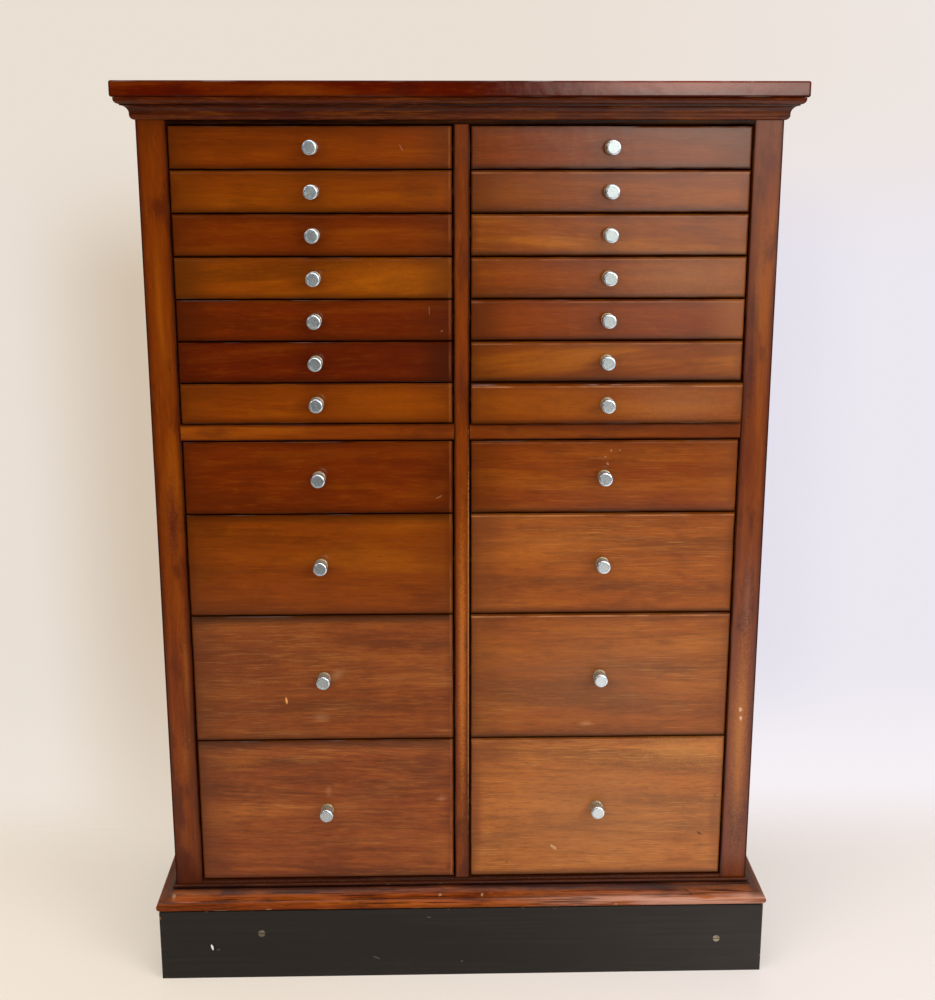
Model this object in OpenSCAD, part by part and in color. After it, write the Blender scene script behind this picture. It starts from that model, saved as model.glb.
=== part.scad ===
// Dental cabinet: a mahogany case on a black plinth, with twenty-two side-hung dovetailed drawers.
// Millimetres. X runs to the right, Y from the front to the back, Z up from the floor.

/* [Case] */
// Width of the case across its two sides
case_w = 760; // [600:5:900]
// Depth of the case from the front of the stiles to the back
case_d = 381; // [330:1:460]
// Thickness of the two side panels
side_t = 19; // [15:0.5:24]
// Width of each outer stile
stile_w = 35; // [30:0.5:50]
// Width of the centre stile and thickness of the partition behind it
centre_w = 19; // [18:0.5:30]
// Thickness of the stiles and rails, front to back
frame_t = 19; // [15:0.5:24]
// Height of the rail between the shallow and the deep drawers
mid_rail_h = 19.5; // [16:0.5:32]
// Height of the top rail that shows below the cornice
top_rail_show = 4.8; // [2:0.1:20]
// Height of the bottom rail that shows above the base moulding
bottom_rail_show = 5; // [3:0.5:30]
// Thickness of the bottom board and of the board under the top
carcass_board_t = 16; // [12:0.5:20]
// Thickness of the dust boards behind the middle rails
dust_board_t = 10; // [6:0.5:12]
// Thickness of the back boards
back_t = 10; // [7:0.5:14]
// Depth of the housings that the boards sit in
housing = 6; // [3:0.5:7]
// Length of the stub tenons on the rails
tenon_l = 8; // [4:0.5:8.5]
// Thickness of the stub tenons
tenon_t = 7; // [5:0.5:9]
// Width of the shoulders beside the stub tenons
tenon_shoulder = 3; // [1:0.5:5]
// Length of the tongues on the back boards
tongue_l = 5; // [3:0.5:6]

/* [Top and cornice] */
// Thickness of the top board
top_t = 18.5; // [15:0.5:26]
// How far the top board stands out past the case
top_overhang = 23.5; // [22.5:0.5:45]
// Radius of the top board's eased edges
top_ease = 2.5; // [1:0.5:6]
// Radius of the bead at the foot of the cornice
cornice_bead = 5.5; // [3:0.5:7]
// Radius of the cornice's cove
cornice_cove = 9; // [5:0.5:9]
// Radius of the ovolo above the cove
cornice_ovolo = 6; // [4:0.5:7]
// Height of the small flats between the cornice's curves
cornice_fillet = 1.5; // [0.8:0.1:3]

/* [Plinth and base moulding] */
// Height of the plinth
plinth_h = 98; // [75:1:160]
// Thickness of the plinth boards
plinth_t = 19; // [15:0.5:26]
// How far the plinth stands out past the case
plinth_reach = 21; // [15:0.5:22]
// Height of the cleats inside the plinth that carry the case
cleat_h = 60; // [56:1:68]
// Thickness of those cleats
cleat_t = 25; // [22:0.5:36]
// Radius of the base moulding's rounded nose
base_nose = 7.5; // [6:0.5:9]
// Height of the small step above the nose
base_step = 1; // [0.5:0.1:2]
// How far that step stands back from the nose's tip
base_step_back = 4.5; // [4:0.5:5.5]
// Height of the hollow face between the step and the fillet
base_hollow_h = 8.5; // [6:0.5:14]
// Radius of that hollow face
base_hollow_r = 21; // [14:1:80]
// Height of the fillet above the hollow face
base_fillet = 1.5; // [1:0.5:5]
// Radius of the small bead on top of the base moulding
base_bead = 2; // [1:0.25:3]
// How far that bead stands out from the case
base_bead_reach = 4.5; // [3.5:0.5:7]
// How far the base moulding's nose stands out from the case
base_reach = 24; // [24:0.5:32]

/* [Drawers] */
// Height of each of the seven shallow drawer fronts
shallow_h = 48.7; // [42:0.1:70]
// Height of the first deep drawer's front, from the top
deep_1_h = 91; // [70:0.5:150]
// Height of the second deep drawer's front
deep_2_h = 130.5; // [80:0.5:200]
// Height of the third deep drawer's front
deep_3_h = 168; // [80:0.5:240]
// Height of the lowest drawer's front
deep_4_h = 195.5; // [80:0.5:280]
// Gap round every drawer front
reveal = 2; // [1:0.1:3]
// Thickness of the drawer fronts
front_t = 19; // [16:0.5:24]
// Size of the small bevel round a drawer front
front_ease = 1.2; // [0.5:0.1:2.5]
// Thickness of the drawer sides
box_t = 11; // [9:0.5:14]
// Thickness of the drawer backs
box_back_t = 10; // [8:0.5:14]
// Thickness of the drawer bottoms
bottom_t = 5; // [3:0.5:7]
// Height of a drawer bottom above the lower edge of its sides
bottom_lift = 5; // [3:0.5:7]
// Free room behind a closed drawer
room_behind = 14; // [6:1:60]
// How far the seventh drawer on the right stands open
ajar = 12; // [0:1:20]
// Length of the tails let into a drawer front
lap_tail_l = 12; // [8:0.5:14]
// Slope of a tail's flank, as run over rise
tail_slope = 0.16; // [0.1:0.01:0.2]
// Height of drawer side for each tail after the first
tail_spacing = 38; // [36:1:50]

/* [Runners] */
// Height of the runner strips
runner_h = 8; // [5:0.5:11]
// Depth of the runner grooves in the drawer sides
groove_d = 5.5; // [4:0.5:6]
// Running clearance between a runner and its groove
runner_fit = 0.3; // [0.2:0.05:0.6]

/* [Knobs] */
// Diameter of the knob's head
knob_d = 17.5; // [14:0.5:24]
// How far the knob stands out from the drawer front
knob_reach = 20; // [17:0.5:30]
// Diameter of the knob's neck at its narrowest
neck_d = 11; // [8:0.2:12]
// Length of the knob's straight head
head_l = 6.5; // [4:0.5:8]
// Diameter of the rose under the knob
rose_d = 17; // [15:0.5:26]
// Thickness of the rose
rose_t = 1.6; // [1:0.1:3]
// Diameter of the screw that holds the knob
knob_screw_d = 4; // [3:0.5:5]
// Diameter of that screw's head, inside the drawer
pan_d = 8.8; // [7:0.2:11]
// Height of that screw's head
pan_h = 2.6; // [2:0.1:4]
// Length of solid metal between the screw's hole and the knob's face
knob_solid_l = 8; // [5:0.5:9]

/* [Plinth screws] */
// Distance of the left plinth screw from the middle
left_screw_x = 267; // [100:1:280]
// Distance of the right plinth screw from the middle
right_screw_x = 340; // [200:1:350]
// Distance of the left plinth screw below the plinth's top
left_screw_drop = 33; // [20:1:50]
// Distance of the right plinth screw below the plinth's top
right_screw_drop = 49.5; // [20:0.5:52]
// Diameter of a plinth screw's countersunk head
screw_head_d = 9.6; // [8:0.2:12]
// Length of a plinth screw beyond the plinth's front board
screw_bite = 14; // [8:1:20]

/* [Hidden] */
$fn = 48;
SHALLOW_ROWS = 7;
BACK_BOARDS = 6;
// Gap left for glue in a joint
glue_line = 0.1;
// Room round a screw in its hole
clear_hole = 0.2;
// How far a cutting shape runs past the face it cuts
past = 1;
// Width and depth of a screw's slot
slot_w = 1.3;
slot_d = 1.2;

row_h = concat([for (r = [1 : SHALLOW_ROWS]) shallow_h], [deep_1_h, deep_2_h, deep_3_h, deep_4_h]);
ROWS = len(row_h);
LEFT = -1;
RIGHT = 1;
SIDES = [LEFT, RIGHT];
AJAR_ROW = SHALLOW_ROWS;

function sum_from(list, first) = first >= len(list) ? 0 : list[first] + sum_from(list, first + 1);
function side_word(side) = side == LEFT ? "left" : "right";
function drawer_name(side, row) = str("drawer_", side_word(side), "_", row);
function knob_name(side, row) = str("knob_", side_word(side), "_", row);

CASE_NODES = ["side_left", "side_right", "face_stiles", "face_rails", "centre_partition", "bottom_board",
    "sub_top", "dust_boards", "back_boards", "drawer_runners", "top_board", "cornice_moulding",
    "base_moulding", "plinth_frame", "plinth_cleats", "plinth_screws"];

// Heights, from the floor up
cornice_h = cornice_bead + cornice_cove + cornice_ovolo + 3 * cornice_fillet;
base_h = 2 * base_nose + base_step + base_hollow_h + base_fillet + 2 * base_bead;
bottom_rail_top = plinth_h + base_h + bottom_rail_show;
mid_rail_z = bottom_rail_top + sum_from(row_h, SHALLOW_ROWS) + (ROWS - SHALLOW_ROWS + 1) * reveal;
shallow_z = mid_rail_z + mid_rail_h;
top_rail_z = shallow_z + SHALLOW_ROWS * shallow_h + (SHALLOW_ROWS + 1) * reveal;
case_top = top_rail_z + top_rail_show + cornice_h;
total_h = case_top + top_t;

// Depths: the origin stands under the middle of everything, the ajar drawer's knob included
front_reach = max(knob_reach + ajar, top_overhang, base_reach);
front_y = (front_reach - case_d) / 2;
back_y = front_y + case_d;
panel_y = front_y + frame_t + glue_line;
back_boards_y = back_y - back_t;

// Widths
half_w = case_w / 2;
inner_x = half_w - side_t;
bay_inner_x = centre_w / 2;
bay_outer_x = half_w - stile_w;
front_w = bay_outer_x - bay_inner_x - 2 * reveal;
bay_centre_x = (bay_outer_x + bay_inner_x) / 2;

// Drawer boxes
box_lower = 1;
box_upper = 2;
groove_room = 0.5;
drawer_l = case_d - back_t - room_behind;
pin_root = 5;
lap_y = front_t - lap_tail_l;
back_board_y = drawer_l - box_back_t;
floor_z = box_lower + bottom_lift;
floor_groove = 4.5;

function front_z(row) = (row > SHALLOW_ROWS ? bottom_rail_top : shallow_z) + reveal
    + (row > SHALLOW_ROWS ? sum_from(row_h, row) + (ROWS - row) * reveal
                          : (SHALLOW_ROWS - row) * (shallow_h + reveal));
function open_by(side, row) = side == RIGHT && row == AJAR_ROW ? ajar : 0;
function tails(h) = round(h / tail_spacing) + 1;
function groove_z(h) = h / 2 - runner_h / 2 - runner_fit;

// A board from one corner to the opposite one
module board(from, to) {
    translate(from) cube(to - from);
}

// Case panels

module side_panel(side) {
    color([0.42, 0.17, 0.05])
    difference() {
        board([side == LEFT ? -half_w : inner_x, panel_y, plinth_h],
              [side == LEFT ? -inner_x : half_w, back_y, case_top]);
        board_edges(glue_line);
        back_rebate(glue_line);
    }
}

// The bottom board, the sub-top and the dust boards as one set, grown for the housings they sit in
module board_edges(grow = 0) {
    bottom_board_shape(grow);
    sub_top_shape(grow);
    dust_board_shapes(grow);
}

module bottom_board_shape(grow = 0) {
    board([-inner_x - housing, panel_y, bottom_rail_top - box_lower - carcass_board_t] - [grow, grow, grow],
          [inner_x + housing, back_boards_y - glue_line, bottom_rail_top - box_lower] + [grow, grow, grow]);
}

module sub_top_shape(grow = 0) {
    board([-inner_x - housing, panel_y, case_top - carcass_board_t] - [grow, grow, grow],
          [inner_x + housing, back_boards_y - glue_line, case_top] + [grow, grow, grow]);
}

module dust_board_shapes(grow = 0) {
    z = mid_rail_z + (mid_rail_h - dust_board_t) / 2;
    for (side = SIDES) {
        near = side * (bay_inner_x - housing);
        far = side * (inner_x + housing);
        board([min(near, far), panel_y, z] - [grow, grow, grow],
              [max(near, far), back_boards_y - glue_line, z + dust_board_t] + [grow, grow, grow]);
    }
}

module back_rebate(grow = 0) {
    board([-inner_x - housing - grow, back_boards_y - grow, plinth_h - grow],
          [inner_x + housing + grow, back_y + grow, case_top + grow]);
}

module centre_partition() {
    color([0.40, 0.18, 0.07])
    difference() {
        board([-bay_inner_x, panel_y, bottom_rail_top - box_lower + glue_line],
              [bay_inner_x, back_boards_y - glue_line, case_top - carcass_board_t - glue_line]);
        dust_board_shapes(glue_line);
    }
}

module bottom_board() {
    color([0.45, 0.24, 0.11]) bottom_board_shape();
}

module sub_top() {
    color([0.45, 0.24, 0.11]) sub_top_shape();
}

module dust_boards() {
    color([0.47, 0.27, 0.13]) dust_board_shapes();
}

// Upright boards with a tongue on one edge and a groove in the other
module back_boards() {
    tongue_t = back_t / 3;
    span = 2 * (inner_x + housing - glue_line);
    board_w = span / BACK_BOARDS;
    color([0.47, 0.27, 0.13])
    for (i = [0 : BACK_BOARDS - 1]) {
        x = -span / 2 + i * board_w;
        last = i == BACK_BOARDS - 1;
        translate([0, 0, plinth_h])
        linear_extrude(case_top - plinth_h)
        difference() {
            union() {
                translate([x + glue_line, back_boards_y]) square([board_w - glue_line, back_t]);
                if (!last)
                    translate([x + board_w - glue_line, back_boards_y + tongue_t + glue_line])
                        square([tongue_l, tongue_t - 2 * glue_line]);
            }
            if (i > 0)
                translate([x, back_boards_y + tongue_t])
                    square([tongue_l + glue_line, tongue_t]);
        }
    }
}

// Face frame

// Stub tenons of the rails, which run from stile to stile, grown for the mortises
module rail_tenons(grow = 0) {
    y = front_y + (frame_t - tenon_t) / 2;
    spans = [
        [-bay_outer_x, bay_outer_x, top_rail_z, case_top],
        [-bay_outer_x, bay_outer_x, plinth_h, bottom_rail_top],
        [-bay_outer_x, -bay_inner_x, mid_rail_z, shallow_z],
        [bay_inner_x, bay_outer_x, mid_rail_z, shallow_z]];
    for (span = spans)
        board([span[0] - tenon_l, y, span[2] + tenon_shoulder] - [grow, grow, grow],
              [span[1] + tenon_l, y + tenon_t, span[3] - tenon_shoulder] + [grow, grow, grow]);
}

// The centre stile's own tenons, up into the top rail and down into the bottom rail
module centre_stile_tenon(grow = 0) {
    y = front_y + (frame_t - tenon_t) / 2;
    board([-bay_inner_x + tenon_shoulder, y, bottom_rail_top - tenon_l] - [grow, grow, grow],
          [bay_inner_x - tenon_shoulder, y + tenon_t, top_rail_z + tenon_l] + [grow, grow, grow]);
}

module face_stiles() {
    color([0.46, 0.19, 0.06]) {
        difference() {
            for (side = SIDES)
                board([min(side * half_w, side * bay_outer_x), front_y, plinth_h],
                      [max(side * half_w, side * bay_outer_x), front_y + frame_t, case_top]);
            rail_tenons(glue_line);
        }
        difference() {
            union() {
                board([-bay_inner_x, front_y, bottom_rail_top + glue_line],
                      [bay_inner_x, front_y + frame_t, top_rail_z - glue_line]);
                centre_stile_tenon();
            }
            rail_tenons(glue_line);
        }
    }
}

module face_rails() {
    color([0.46, 0.19, 0.06])
    difference() {
        union() {
            rail_tenons();
            for (z = [[plinth_h, bottom_rail_top], [top_rail_z, case_top]])
                board([-bay_outer_x + glue_line, front_y, z[0]],
                      [bay_outer_x - glue_line, front_y + frame_t, z[1]]);
            for (side = SIDES) {
                near = side * (bay_inner_x + glue_line);
                far = side * (bay_outer_x - glue_line);
                board([min(near, far), front_y, mid_rail_z],
                      [max(near, far), front_y + frame_t, shallow_z]);
            }
        }
        centre_stile_tenon(glue_line);
    }
}

// Runner strips: thin on the partition, wide on the side panels, one each side of every drawer
module drawer_runners() {
    enter = groove_d - groove_room;
    box_inner_x = bay_inner_x + reveal;
    box_outer_x = bay_outer_x - reveal;
    color([0.55, 0.36, 0.18])
    for (side = SIDES) for (row = [1 : ROWS]) {
        z = front_z(row) + groove_z(row_h[row - 1]) + runner_fit;
        y = front_y + front_t + runner_fit;
        spans = [[bay_inner_x + glue_line, box_inner_x + enter], [box_outer_x - enter, inner_x - glue_line]];
        for (span = spans)
            board([min(side * span[0], side * span[1]), y, z],
                  [max(side * span[0], side * span[1]), back_boards_y - glue_line, z + runner_h]);
    }
}

// Mouldings

// A moulding's plan region, from the case face outwards, mitred at the front corners
module mitred_front(reach) {
    x = half_w - glue_line;
    translate([0, 0, plinth_h])
    linear_extrude(total_h)
    polygon([[-x, front_y], [x, front_y], [x + reach, front_y - reach], [-x - reach, front_y - reach]]);
}

module mitred_side(reach) {
    translate([0, 0, plinth_h])
    linear_extrude(total_h)
    polygon([[half_w, front_y], [half_w + reach, front_y - reach], [half_w + reach, back_y], [half_w, back_y]]);
}

// Runs a profile round the front and the two sides of the case: three mitred lengths
module round_the_case(reach, z) {
    intersection() {
        translate([-half_w - reach, front_y, z]) rotate([90, 0, 90])
            linear_extrude(case_w + 2 * reach) mirror([1, 0]) translate([glue_line, 0]) children();
        mitred_front(reach + glue_line);
    }
    for (side = SIDES)
        mirror([side == LEFT ? 1 : 0, 0, 0])
        intersection() {
            translate([half_w + glue_line, back_y, z]) rotate([90, 0, 0])
                linear_extrude(case_d + reach) children();
            mitred_side(reach + 2 * glue_line);
        }
}

// Cornice profile, from its foot up: bead, cove, ovolo, with a small flat after each
module cornice_profile() {
    bead = cornice_bead;
    cove = cornice_cove;
    flat = cornice_fillet;
    top = cornice_h - glue_line;
    intersection() {
        translate([0, bead]) circle(bead);
        square([bead, bead]);
    }
    translate([0, bead]) square([bead, top - bead]);
    difference() {
        translate([bead, bead + flat]) square([cove, top - bead - flat]);
        translate([bead + cove, bead + flat]) circle(cove);
    }
    intersection() {
        translate([bead + cove, top - flat]) circle(cornice_ovolo);
        translate([bead + cove, 0]) square([cornice_ovolo, top - flat]);
    }
    translate([bead + cove, top - flat]) square([cornice_ovolo, flat]);
}

// The centre of the circle of a given radius through two points, on the left of the way from one to the other
function arc_centre(from, to, r) =
    let (half = (to - from) / 2, across = [-half[1], half[0]] / norm(half))
    from + half + across * sqrt(r * r - half * half);

// Base moulding profile, from the plinth up: rounded nose, small step, hollow face, fillet, bead
module base_profile() {
    nose_u = base_reach - base_nose - glue_line;
    step_u = base_reach - base_step_back - glue_line;
    step_v = 2 * base_nose + base_step;
    fillet_v = step_v + base_hollow_h;
    bead_v = fillet_v + base_fillet;
    bead_u = base_bead_reach - base_bead - glue_line;
    fillet_u = base_bead_reach - glue_line;
    low = [step_u, step_v];
    high = [fillet_u, fillet_v];
    translate([0, glue_line]) square([nose_u, 2 * base_nose - glue_line]);
    translate([nose_u, base_nose + glue_line / 2]) circle(base_nose - glue_line / 2);
    translate([0, base_nose]) square([step_u, step_v - base_nose]);
    difference() {
        polygon([[0, step_v], low, high, [0, fillet_v]]);
        translate(arc_centre(high, low, base_hollow_r)) circle(base_hollow_r);
    }
    translate([0, fillet_v]) square([bead_u, base_fillet]);
    translate([0, bead_v]) square([bead_u, 2 * base_bead]);
    translate([bead_u, bead_v + base_bead]) circle(base_bead);
}

module cornice_moulding() {
    color([0.36, 0.15, 0.08])
    round_the_case(cornice_bead + cornice_cove + cornice_ovolo, top_rail_z + top_rail_show) cornice_profile();
}

module base_moulding() {
    color([0.50, 0.22, 0.09])
    round_the_case(base_reach, plinth_h) base_profile();
}

// A rectangle with its corners rounded
module eased_rectangle(w, h, r) {
    translate([0, r]) square([w, h - 2 * r]);
    translate([r, 0]) square([w - 2 * r, h]);
    for (x = [r, w - r], y = [r, h - r]) translate([x, y]) circle(r);
}

// The top board, eased along its front and its two ends
module top_board() {
    w = case_w + 2 * top_overhang;
    d = case_d + top_overhang;
    z = case_top + glue_line;
    color([0.42, 0.18, 0.09])
    intersection() {
        translate([-w / 2, back_y, z]) rotate([90, 0, 0])
            linear_extrude(d) eased_rectangle(w, top_t - glue_line, top_ease);
        translate([-w / 2, back_y - d, z]) rotate([90, 0, 90])
            linear_extrude(w) difference() {
                eased_rectangle(d + 2 * top_ease, top_t - glue_line, top_ease);
                translate([d, -past]) square([3 * top_ease, top_t + 2 * past]);
            }
    }
}

// Plinth

plinth_x = half_w + plinth_reach;
plinth_front_y = front_y - plinth_reach;
plinth_screws_at = [[-left_screw_x, plinth_h - left_screw_drop], [right_screw_x, plinth_h - right_screw_drop]];
screw_shank_d = 4.8;
screw_l = plinth_t + screw_bite;

// Front and back boards run the full width and lap the two side boards
module plinth_frame() {
    color([0.17, 0.16, 0.15])
    difference() {
        union() {
            board([-plinth_x, plinth_front_y, 0], [plinth_x, plinth_front_y + plinth_t, plinth_h]);
            board([-plinth_x, back_y - plinth_t, 0], [plinth_x, back_y, plinth_h]);
            for (side = SIDES)
                board([min(side * plinth_x, side * (plinth_x - plinth_t)),
                       plinth_front_y + plinth_t + glue_line, 0],
                      [max(side * plinth_x, side * (plinth_x - plinth_t)),
                       back_y - plinth_t - glue_line, plinth_h]);
        }
        plinth_screw_shapes(clear_hole);
    }
}

// Strips glued inside the plinth, level with its top, which the case stands on
module plinth_cleats() {
    x = plinth_x - plinth_t - glue_line;
    y0 = plinth_front_y + plinth_t + glue_line;
    y1 = back_y - plinth_t - glue_line;
    z = plinth_h - cleat_h;
    top = plinth_h - glue_line;
    color([0.50, 0.33, 0.17])
    difference() {
        union() {
            board([-x, y0, z], [x, y0 + cleat_t, top]);
            board([-x, y1 - cleat_t, z], [x, y1, top]);
            for (side = SIDES)
                board([min(side * x, side * (x - cleat_t)), y0 + cleat_t + glue_line, z],
                      [max(side * x, side * (x - cleat_t)), y1 - cleat_t - glue_line, top]);
        }
        plinth_screw_shapes(clear_hole);
    }
}

// Countersunk wood screws through the plinth's front board into the front cleat
module plinth_screw_shapes(grow = 0) {
    cone_l = (screw_head_d - screw_shank_d) / 2;
    for (at = plinth_screws_at)
        translate([at[0], plinth_front_y, at[1]]) rotate([-90, 0, 0]) {
            cylinder(d1 = screw_head_d + 2 * grow, d2 = screw_shank_d + 2 * grow, h = cone_l);
            cylinder(d = screw_shank_d + 2 * grow, h = screw_l + grow);
        }
}

module plinth_screws() {
    color([0.45, 0.42, 0.36])
    difference() {
        plinth_screw_shapes();
        for (at = plinth_screws_at)
            translate([at[0], plinth_front_y, at[1]])
                cube([screw_head_d + past, 2 * slot_d, slot_w], center = true);
    }
}

// Drawers. Each is drawn with its front face at Y 0, its lower edge at Z 0 and its middle at X 0.

// One row of tails along an upright edge, widening from Y 0 to Y length
module tail_row(h, length, grow = 0) {
    n = tails(h);
    low = box_lower;
    pitch = (h - box_lower - box_upper) / n;
    for (i = [0 : n - 1]) {
        middle = low + (i + 0.5) * pitch;
        root = pitch / 2 - pin_root + grow;
        tip = root + length * tail_slope;
        polygon([[-glue_line, middle - root], [-glue_line, middle + root],
                 [length + grow, middle + tip], [length + grow, middle - tip]]);
    }
}

// The tails that enter the front, and those that pass through the back, as an outline in Y and Z
module front_tails(h, grow = 0) {
    translate([front_t, 0]) mirror([1, 0]) tail_row(h, lap_tail_l, grow);
}

module back_tails(h, grow = 0) {
    translate([back_board_y, 0]) tail_row(h, box_back_t, grow);
}

// Stands an outline drawn in Y and Z upright, and gives it a thickness along X
module upright(thickness) {
    rotate([90, 0, 90]) linear_extrude(thickness) children();
}

// The runner grooves outside the two sides, cut through the back's ends as well
module runner_grooves(h) {
    for (side = SIDES)
        board([min(side * (front_w / 2 - groove_d), side * (front_w / 2 + past)), front_t, groove_z(h)],
              [max(side * (front_w / 2 - groove_d), side * (front_w / 2 + past)), drawer_l + past,
               groove_z(h) + runner_h + 2 * runner_fit]);
}

module bottom_panel(grow = 0) {
    x = front_w / 2 - box_t + floor_groove;
    board([-x, front_t - floor_groove, floor_z] - [grow, grow, grow],
          [x, drawer_l - glue_line, floor_z + bottom_t] + [grow, 2 * grow, grow]);
}

// A front board, bevelled round its face, with sockets for the tails and a groove for the bottom
module drawer_front(h) {
    w = front_w;
    e = front_ease;
    color([0.50, 0.22, 0.07])
    difference() {
        intersection() {
            translate([-w / 2, 0, 0])
                linear_extrude(h)
                polygon([[e, 0], [w - e, 0], [w, e], [w, front_t], [0, front_t], [0, e]]);
            translate([-w / 2, 0, 0])
                upright(w)
                polygon([[0, e], [e, 0], [front_t, 0], [front_t, h], [e, h], [0, h - e]]);
        }
        for (x = [-w / 2 - past, w / 2 - box_t - glue_line])
            translate([x, 0, 0]) upright(box_t + glue_line + past) front_tails(h, glue_line);
        bottom_panel(glue_line);
        translate([0, -past, h / 2]) rotate([-90, 0, 0])
            cylinder(d = knob_screw_d + 2 * clear_hole, h = front_t + 2 * past);
    }
}

module drawer_sides(h) {
    color([0.62, 0.43, 0.25])
    difference() {
        for (x = [-front_w / 2, front_w / 2 - box_t])
            translate([x, 0, 0]) upright(box_t) {
                translate([front_t + glue_line, box_lower])
                    square([back_board_y - front_t - 2 * glue_line, h - box_lower - box_upper]);
                front_tails(h);
                back_tails(h);
            }
        runner_grooves(h);
        bottom_panel(glue_line);
    }
}

module drawer_back(h) {
    color([0.62, 0.43, 0.25])
    difference() {
        board([-front_w / 2, back_board_y, floor_z + bottom_t + glue_line],
              [front_w / 2, drawer_l, h - box_upper]);
        for (x = [-front_w / 2 - past, front_w / 2 - box_t - glue_line])
            translate([x, 0, 0]) upright(box_t + glue_line + past) {
                back_tails(h, glue_line);
                translate([back_board_y - past, 0]) square([past + glue_line, h]);
            }
        runner_grooves(h);
    }
}

module drawer_bottom() {
    color([0.66, 0.48, 0.29]) bottom_panel();
}

// One drawer: front, two sides, back and bottom, as five separate pieces
module drawer(h) {
    drawer_front(h);
    drawer_sides(h);
    drawer_back(h);
    drawer_bottom();
}

// Puts a drawer or its knob in its bay
module in_bay(side, row) {
    translate([side * bay_centre_x, front_y - open_by(side, row), front_z(row)]) children();
}

// Knobs, turned about Y: a flat-faced head on a waisted neck, a rose under it, a screw from inside

module knob_body() {
    rim = 1.8;
    dish_margin = 2.6;
    dish_d = 0.4;
    neck_inset = 1.2;
    waist_r = 12;
    head_r = knob_d / 2;
    foot = rose_t + glue_line;
    neck_l = knob_reach - head_l - foot;
    bore_r = knob_screw_d / 2 + clear_hole / 2;
    rotate([90, 0, 0])
    rotate_extrude()
    difference() {
        union() {
            difference() {
                translate([0, foot]) square([head_r - neck_inset, neck_l]);
                translate([neck_d / 2 + waist_r, foot + neck_l / 2]) circle(waist_r);
            }
            translate([0, foot + neck_l]) square([head_r, head_l - rim]);
            translate([0, knob_reach - rim]) square([head_r - rim, rim]);
            translate([head_r - rim, knob_reach - rim]) circle(rim);
        }
        translate([0, knob_reach - dish_d]) square([head_r - dish_margin, dish_d + past]);
        translate([-past, -past]) square([past + bore_r, past + knob_reach - knob_solid_l]);
        translate([-2 * knob_d, -past]) square([2 * knob_d, 2 * knob_reach]);
    }
}

module knob_rose() {
    edge = 0.7;
    rotate([90, 0, 0])
    difference() {
        union() {
            cylinder(d = rose_d, h = rose_t - edge);
            translate([0, 0, rose_t - edge]) cylinder(d1 = rose_d, d2 = rose_d - 2 * edge, h = edge);
        }
        translate([0, 0, -past]) cylinder(d = knob_screw_d + 2 * clear_hole, h = rose_t + 2 * past);
    }
}

module knob_screw() {
    end_room = 1;
    head_z = -front_t - glue_line;
    tip_z = knob_reach - knob_solid_l - end_room;
    rotate([90, 0, 0])
    difference() {
        union() {
            translate([0, 0, head_z - pan_h]) cylinder(d = pan_d, h = pan_h);
            translate([0, 0, head_z - pan_h / 2])
                cylinder(d = knob_screw_d, h = tip_z - head_z + pan_h / 2);
        }
        translate([0, 0, head_z - pan_h]) cube([slot_w, pan_d + past, 2 * slot_d], center = true);
    }
}

module knob(h) {
    color([0.76, 0.75, 0.73])
    translate([0, 0, h / 2]) {
        knob_body();
        translate([0, -glue_line / 2, 0]) knob_rose();
        knob_screw();
    }
}

side_panel(LEFT);  // side_left
side_panel(RIGHT);  // side_right
face_stiles();
face_rails();
centre_partition();
bottom_board();
sub_top();
dust_boards();
back_boards();
drawer_runners();
top_board();
cornice_moulding();
base_moulding();
plinth_frame();
plinth_cleats();
plinth_screws();
for (side = SIDES) for (row = [1 : ROWS]) {
    in_bay(side, row) drawer(row_h[row - 1]);
    in_bay(side, row) knob(row_h[row - 1]);
}
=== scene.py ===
import math
import random

import bmesh
import bpy
from mathutils import Matrix, Vector


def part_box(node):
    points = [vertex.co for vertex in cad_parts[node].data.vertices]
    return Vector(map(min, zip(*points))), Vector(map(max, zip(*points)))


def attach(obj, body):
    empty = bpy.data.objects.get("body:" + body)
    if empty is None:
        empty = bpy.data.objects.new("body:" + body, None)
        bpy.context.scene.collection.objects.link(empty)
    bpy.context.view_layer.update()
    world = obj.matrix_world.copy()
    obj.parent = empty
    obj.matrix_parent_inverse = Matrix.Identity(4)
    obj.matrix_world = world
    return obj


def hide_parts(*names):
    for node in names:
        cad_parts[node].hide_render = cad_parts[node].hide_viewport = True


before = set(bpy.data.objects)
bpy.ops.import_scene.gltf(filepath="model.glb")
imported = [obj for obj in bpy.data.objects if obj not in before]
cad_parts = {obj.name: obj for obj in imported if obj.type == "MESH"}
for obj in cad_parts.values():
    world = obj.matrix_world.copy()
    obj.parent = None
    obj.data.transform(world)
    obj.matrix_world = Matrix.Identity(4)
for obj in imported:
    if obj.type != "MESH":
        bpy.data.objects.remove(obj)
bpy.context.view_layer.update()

scene = bpy.context.scene
mm = 0.001
rows = 11
sides = ("left", "right")


# small tools for node trees

def wire(value, socket):
    if isinstance(value, bpy.types.NodeSocket):
        socket.id_data.links.new(value, socket)
    else:
        socket.default_value = value


def fill(node, inputs):
    for name, value in inputs.items():
        wire(value, node.inputs[name])
    return node


def addNode(tree, kind, inputs=None, **settings):
    node = tree.nodes.new(kind)
    for name, value in settings.items():
        setattr(node, name, value)
    return fill(node, inputs or {})


def addAfter(values, kind, inputs=None, **settings):  # a node in the tree that these sockets belong to
    tree = next(value.id_data for value in values if isinstance(value, bpy.types.NodeSocket))
    return addNode(tree, kind, dict(enumerate(values)) if inputs is None else inputs, **settings).outputs


def calc(operation, *values):
    return addAfter(values, "ShaderNodeMath", operation=operation)[0]


def times(*values):
    total = values[0]
    for value in values[1:]:
        total = calc("MULTIPLY", total, value)
    return total


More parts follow.
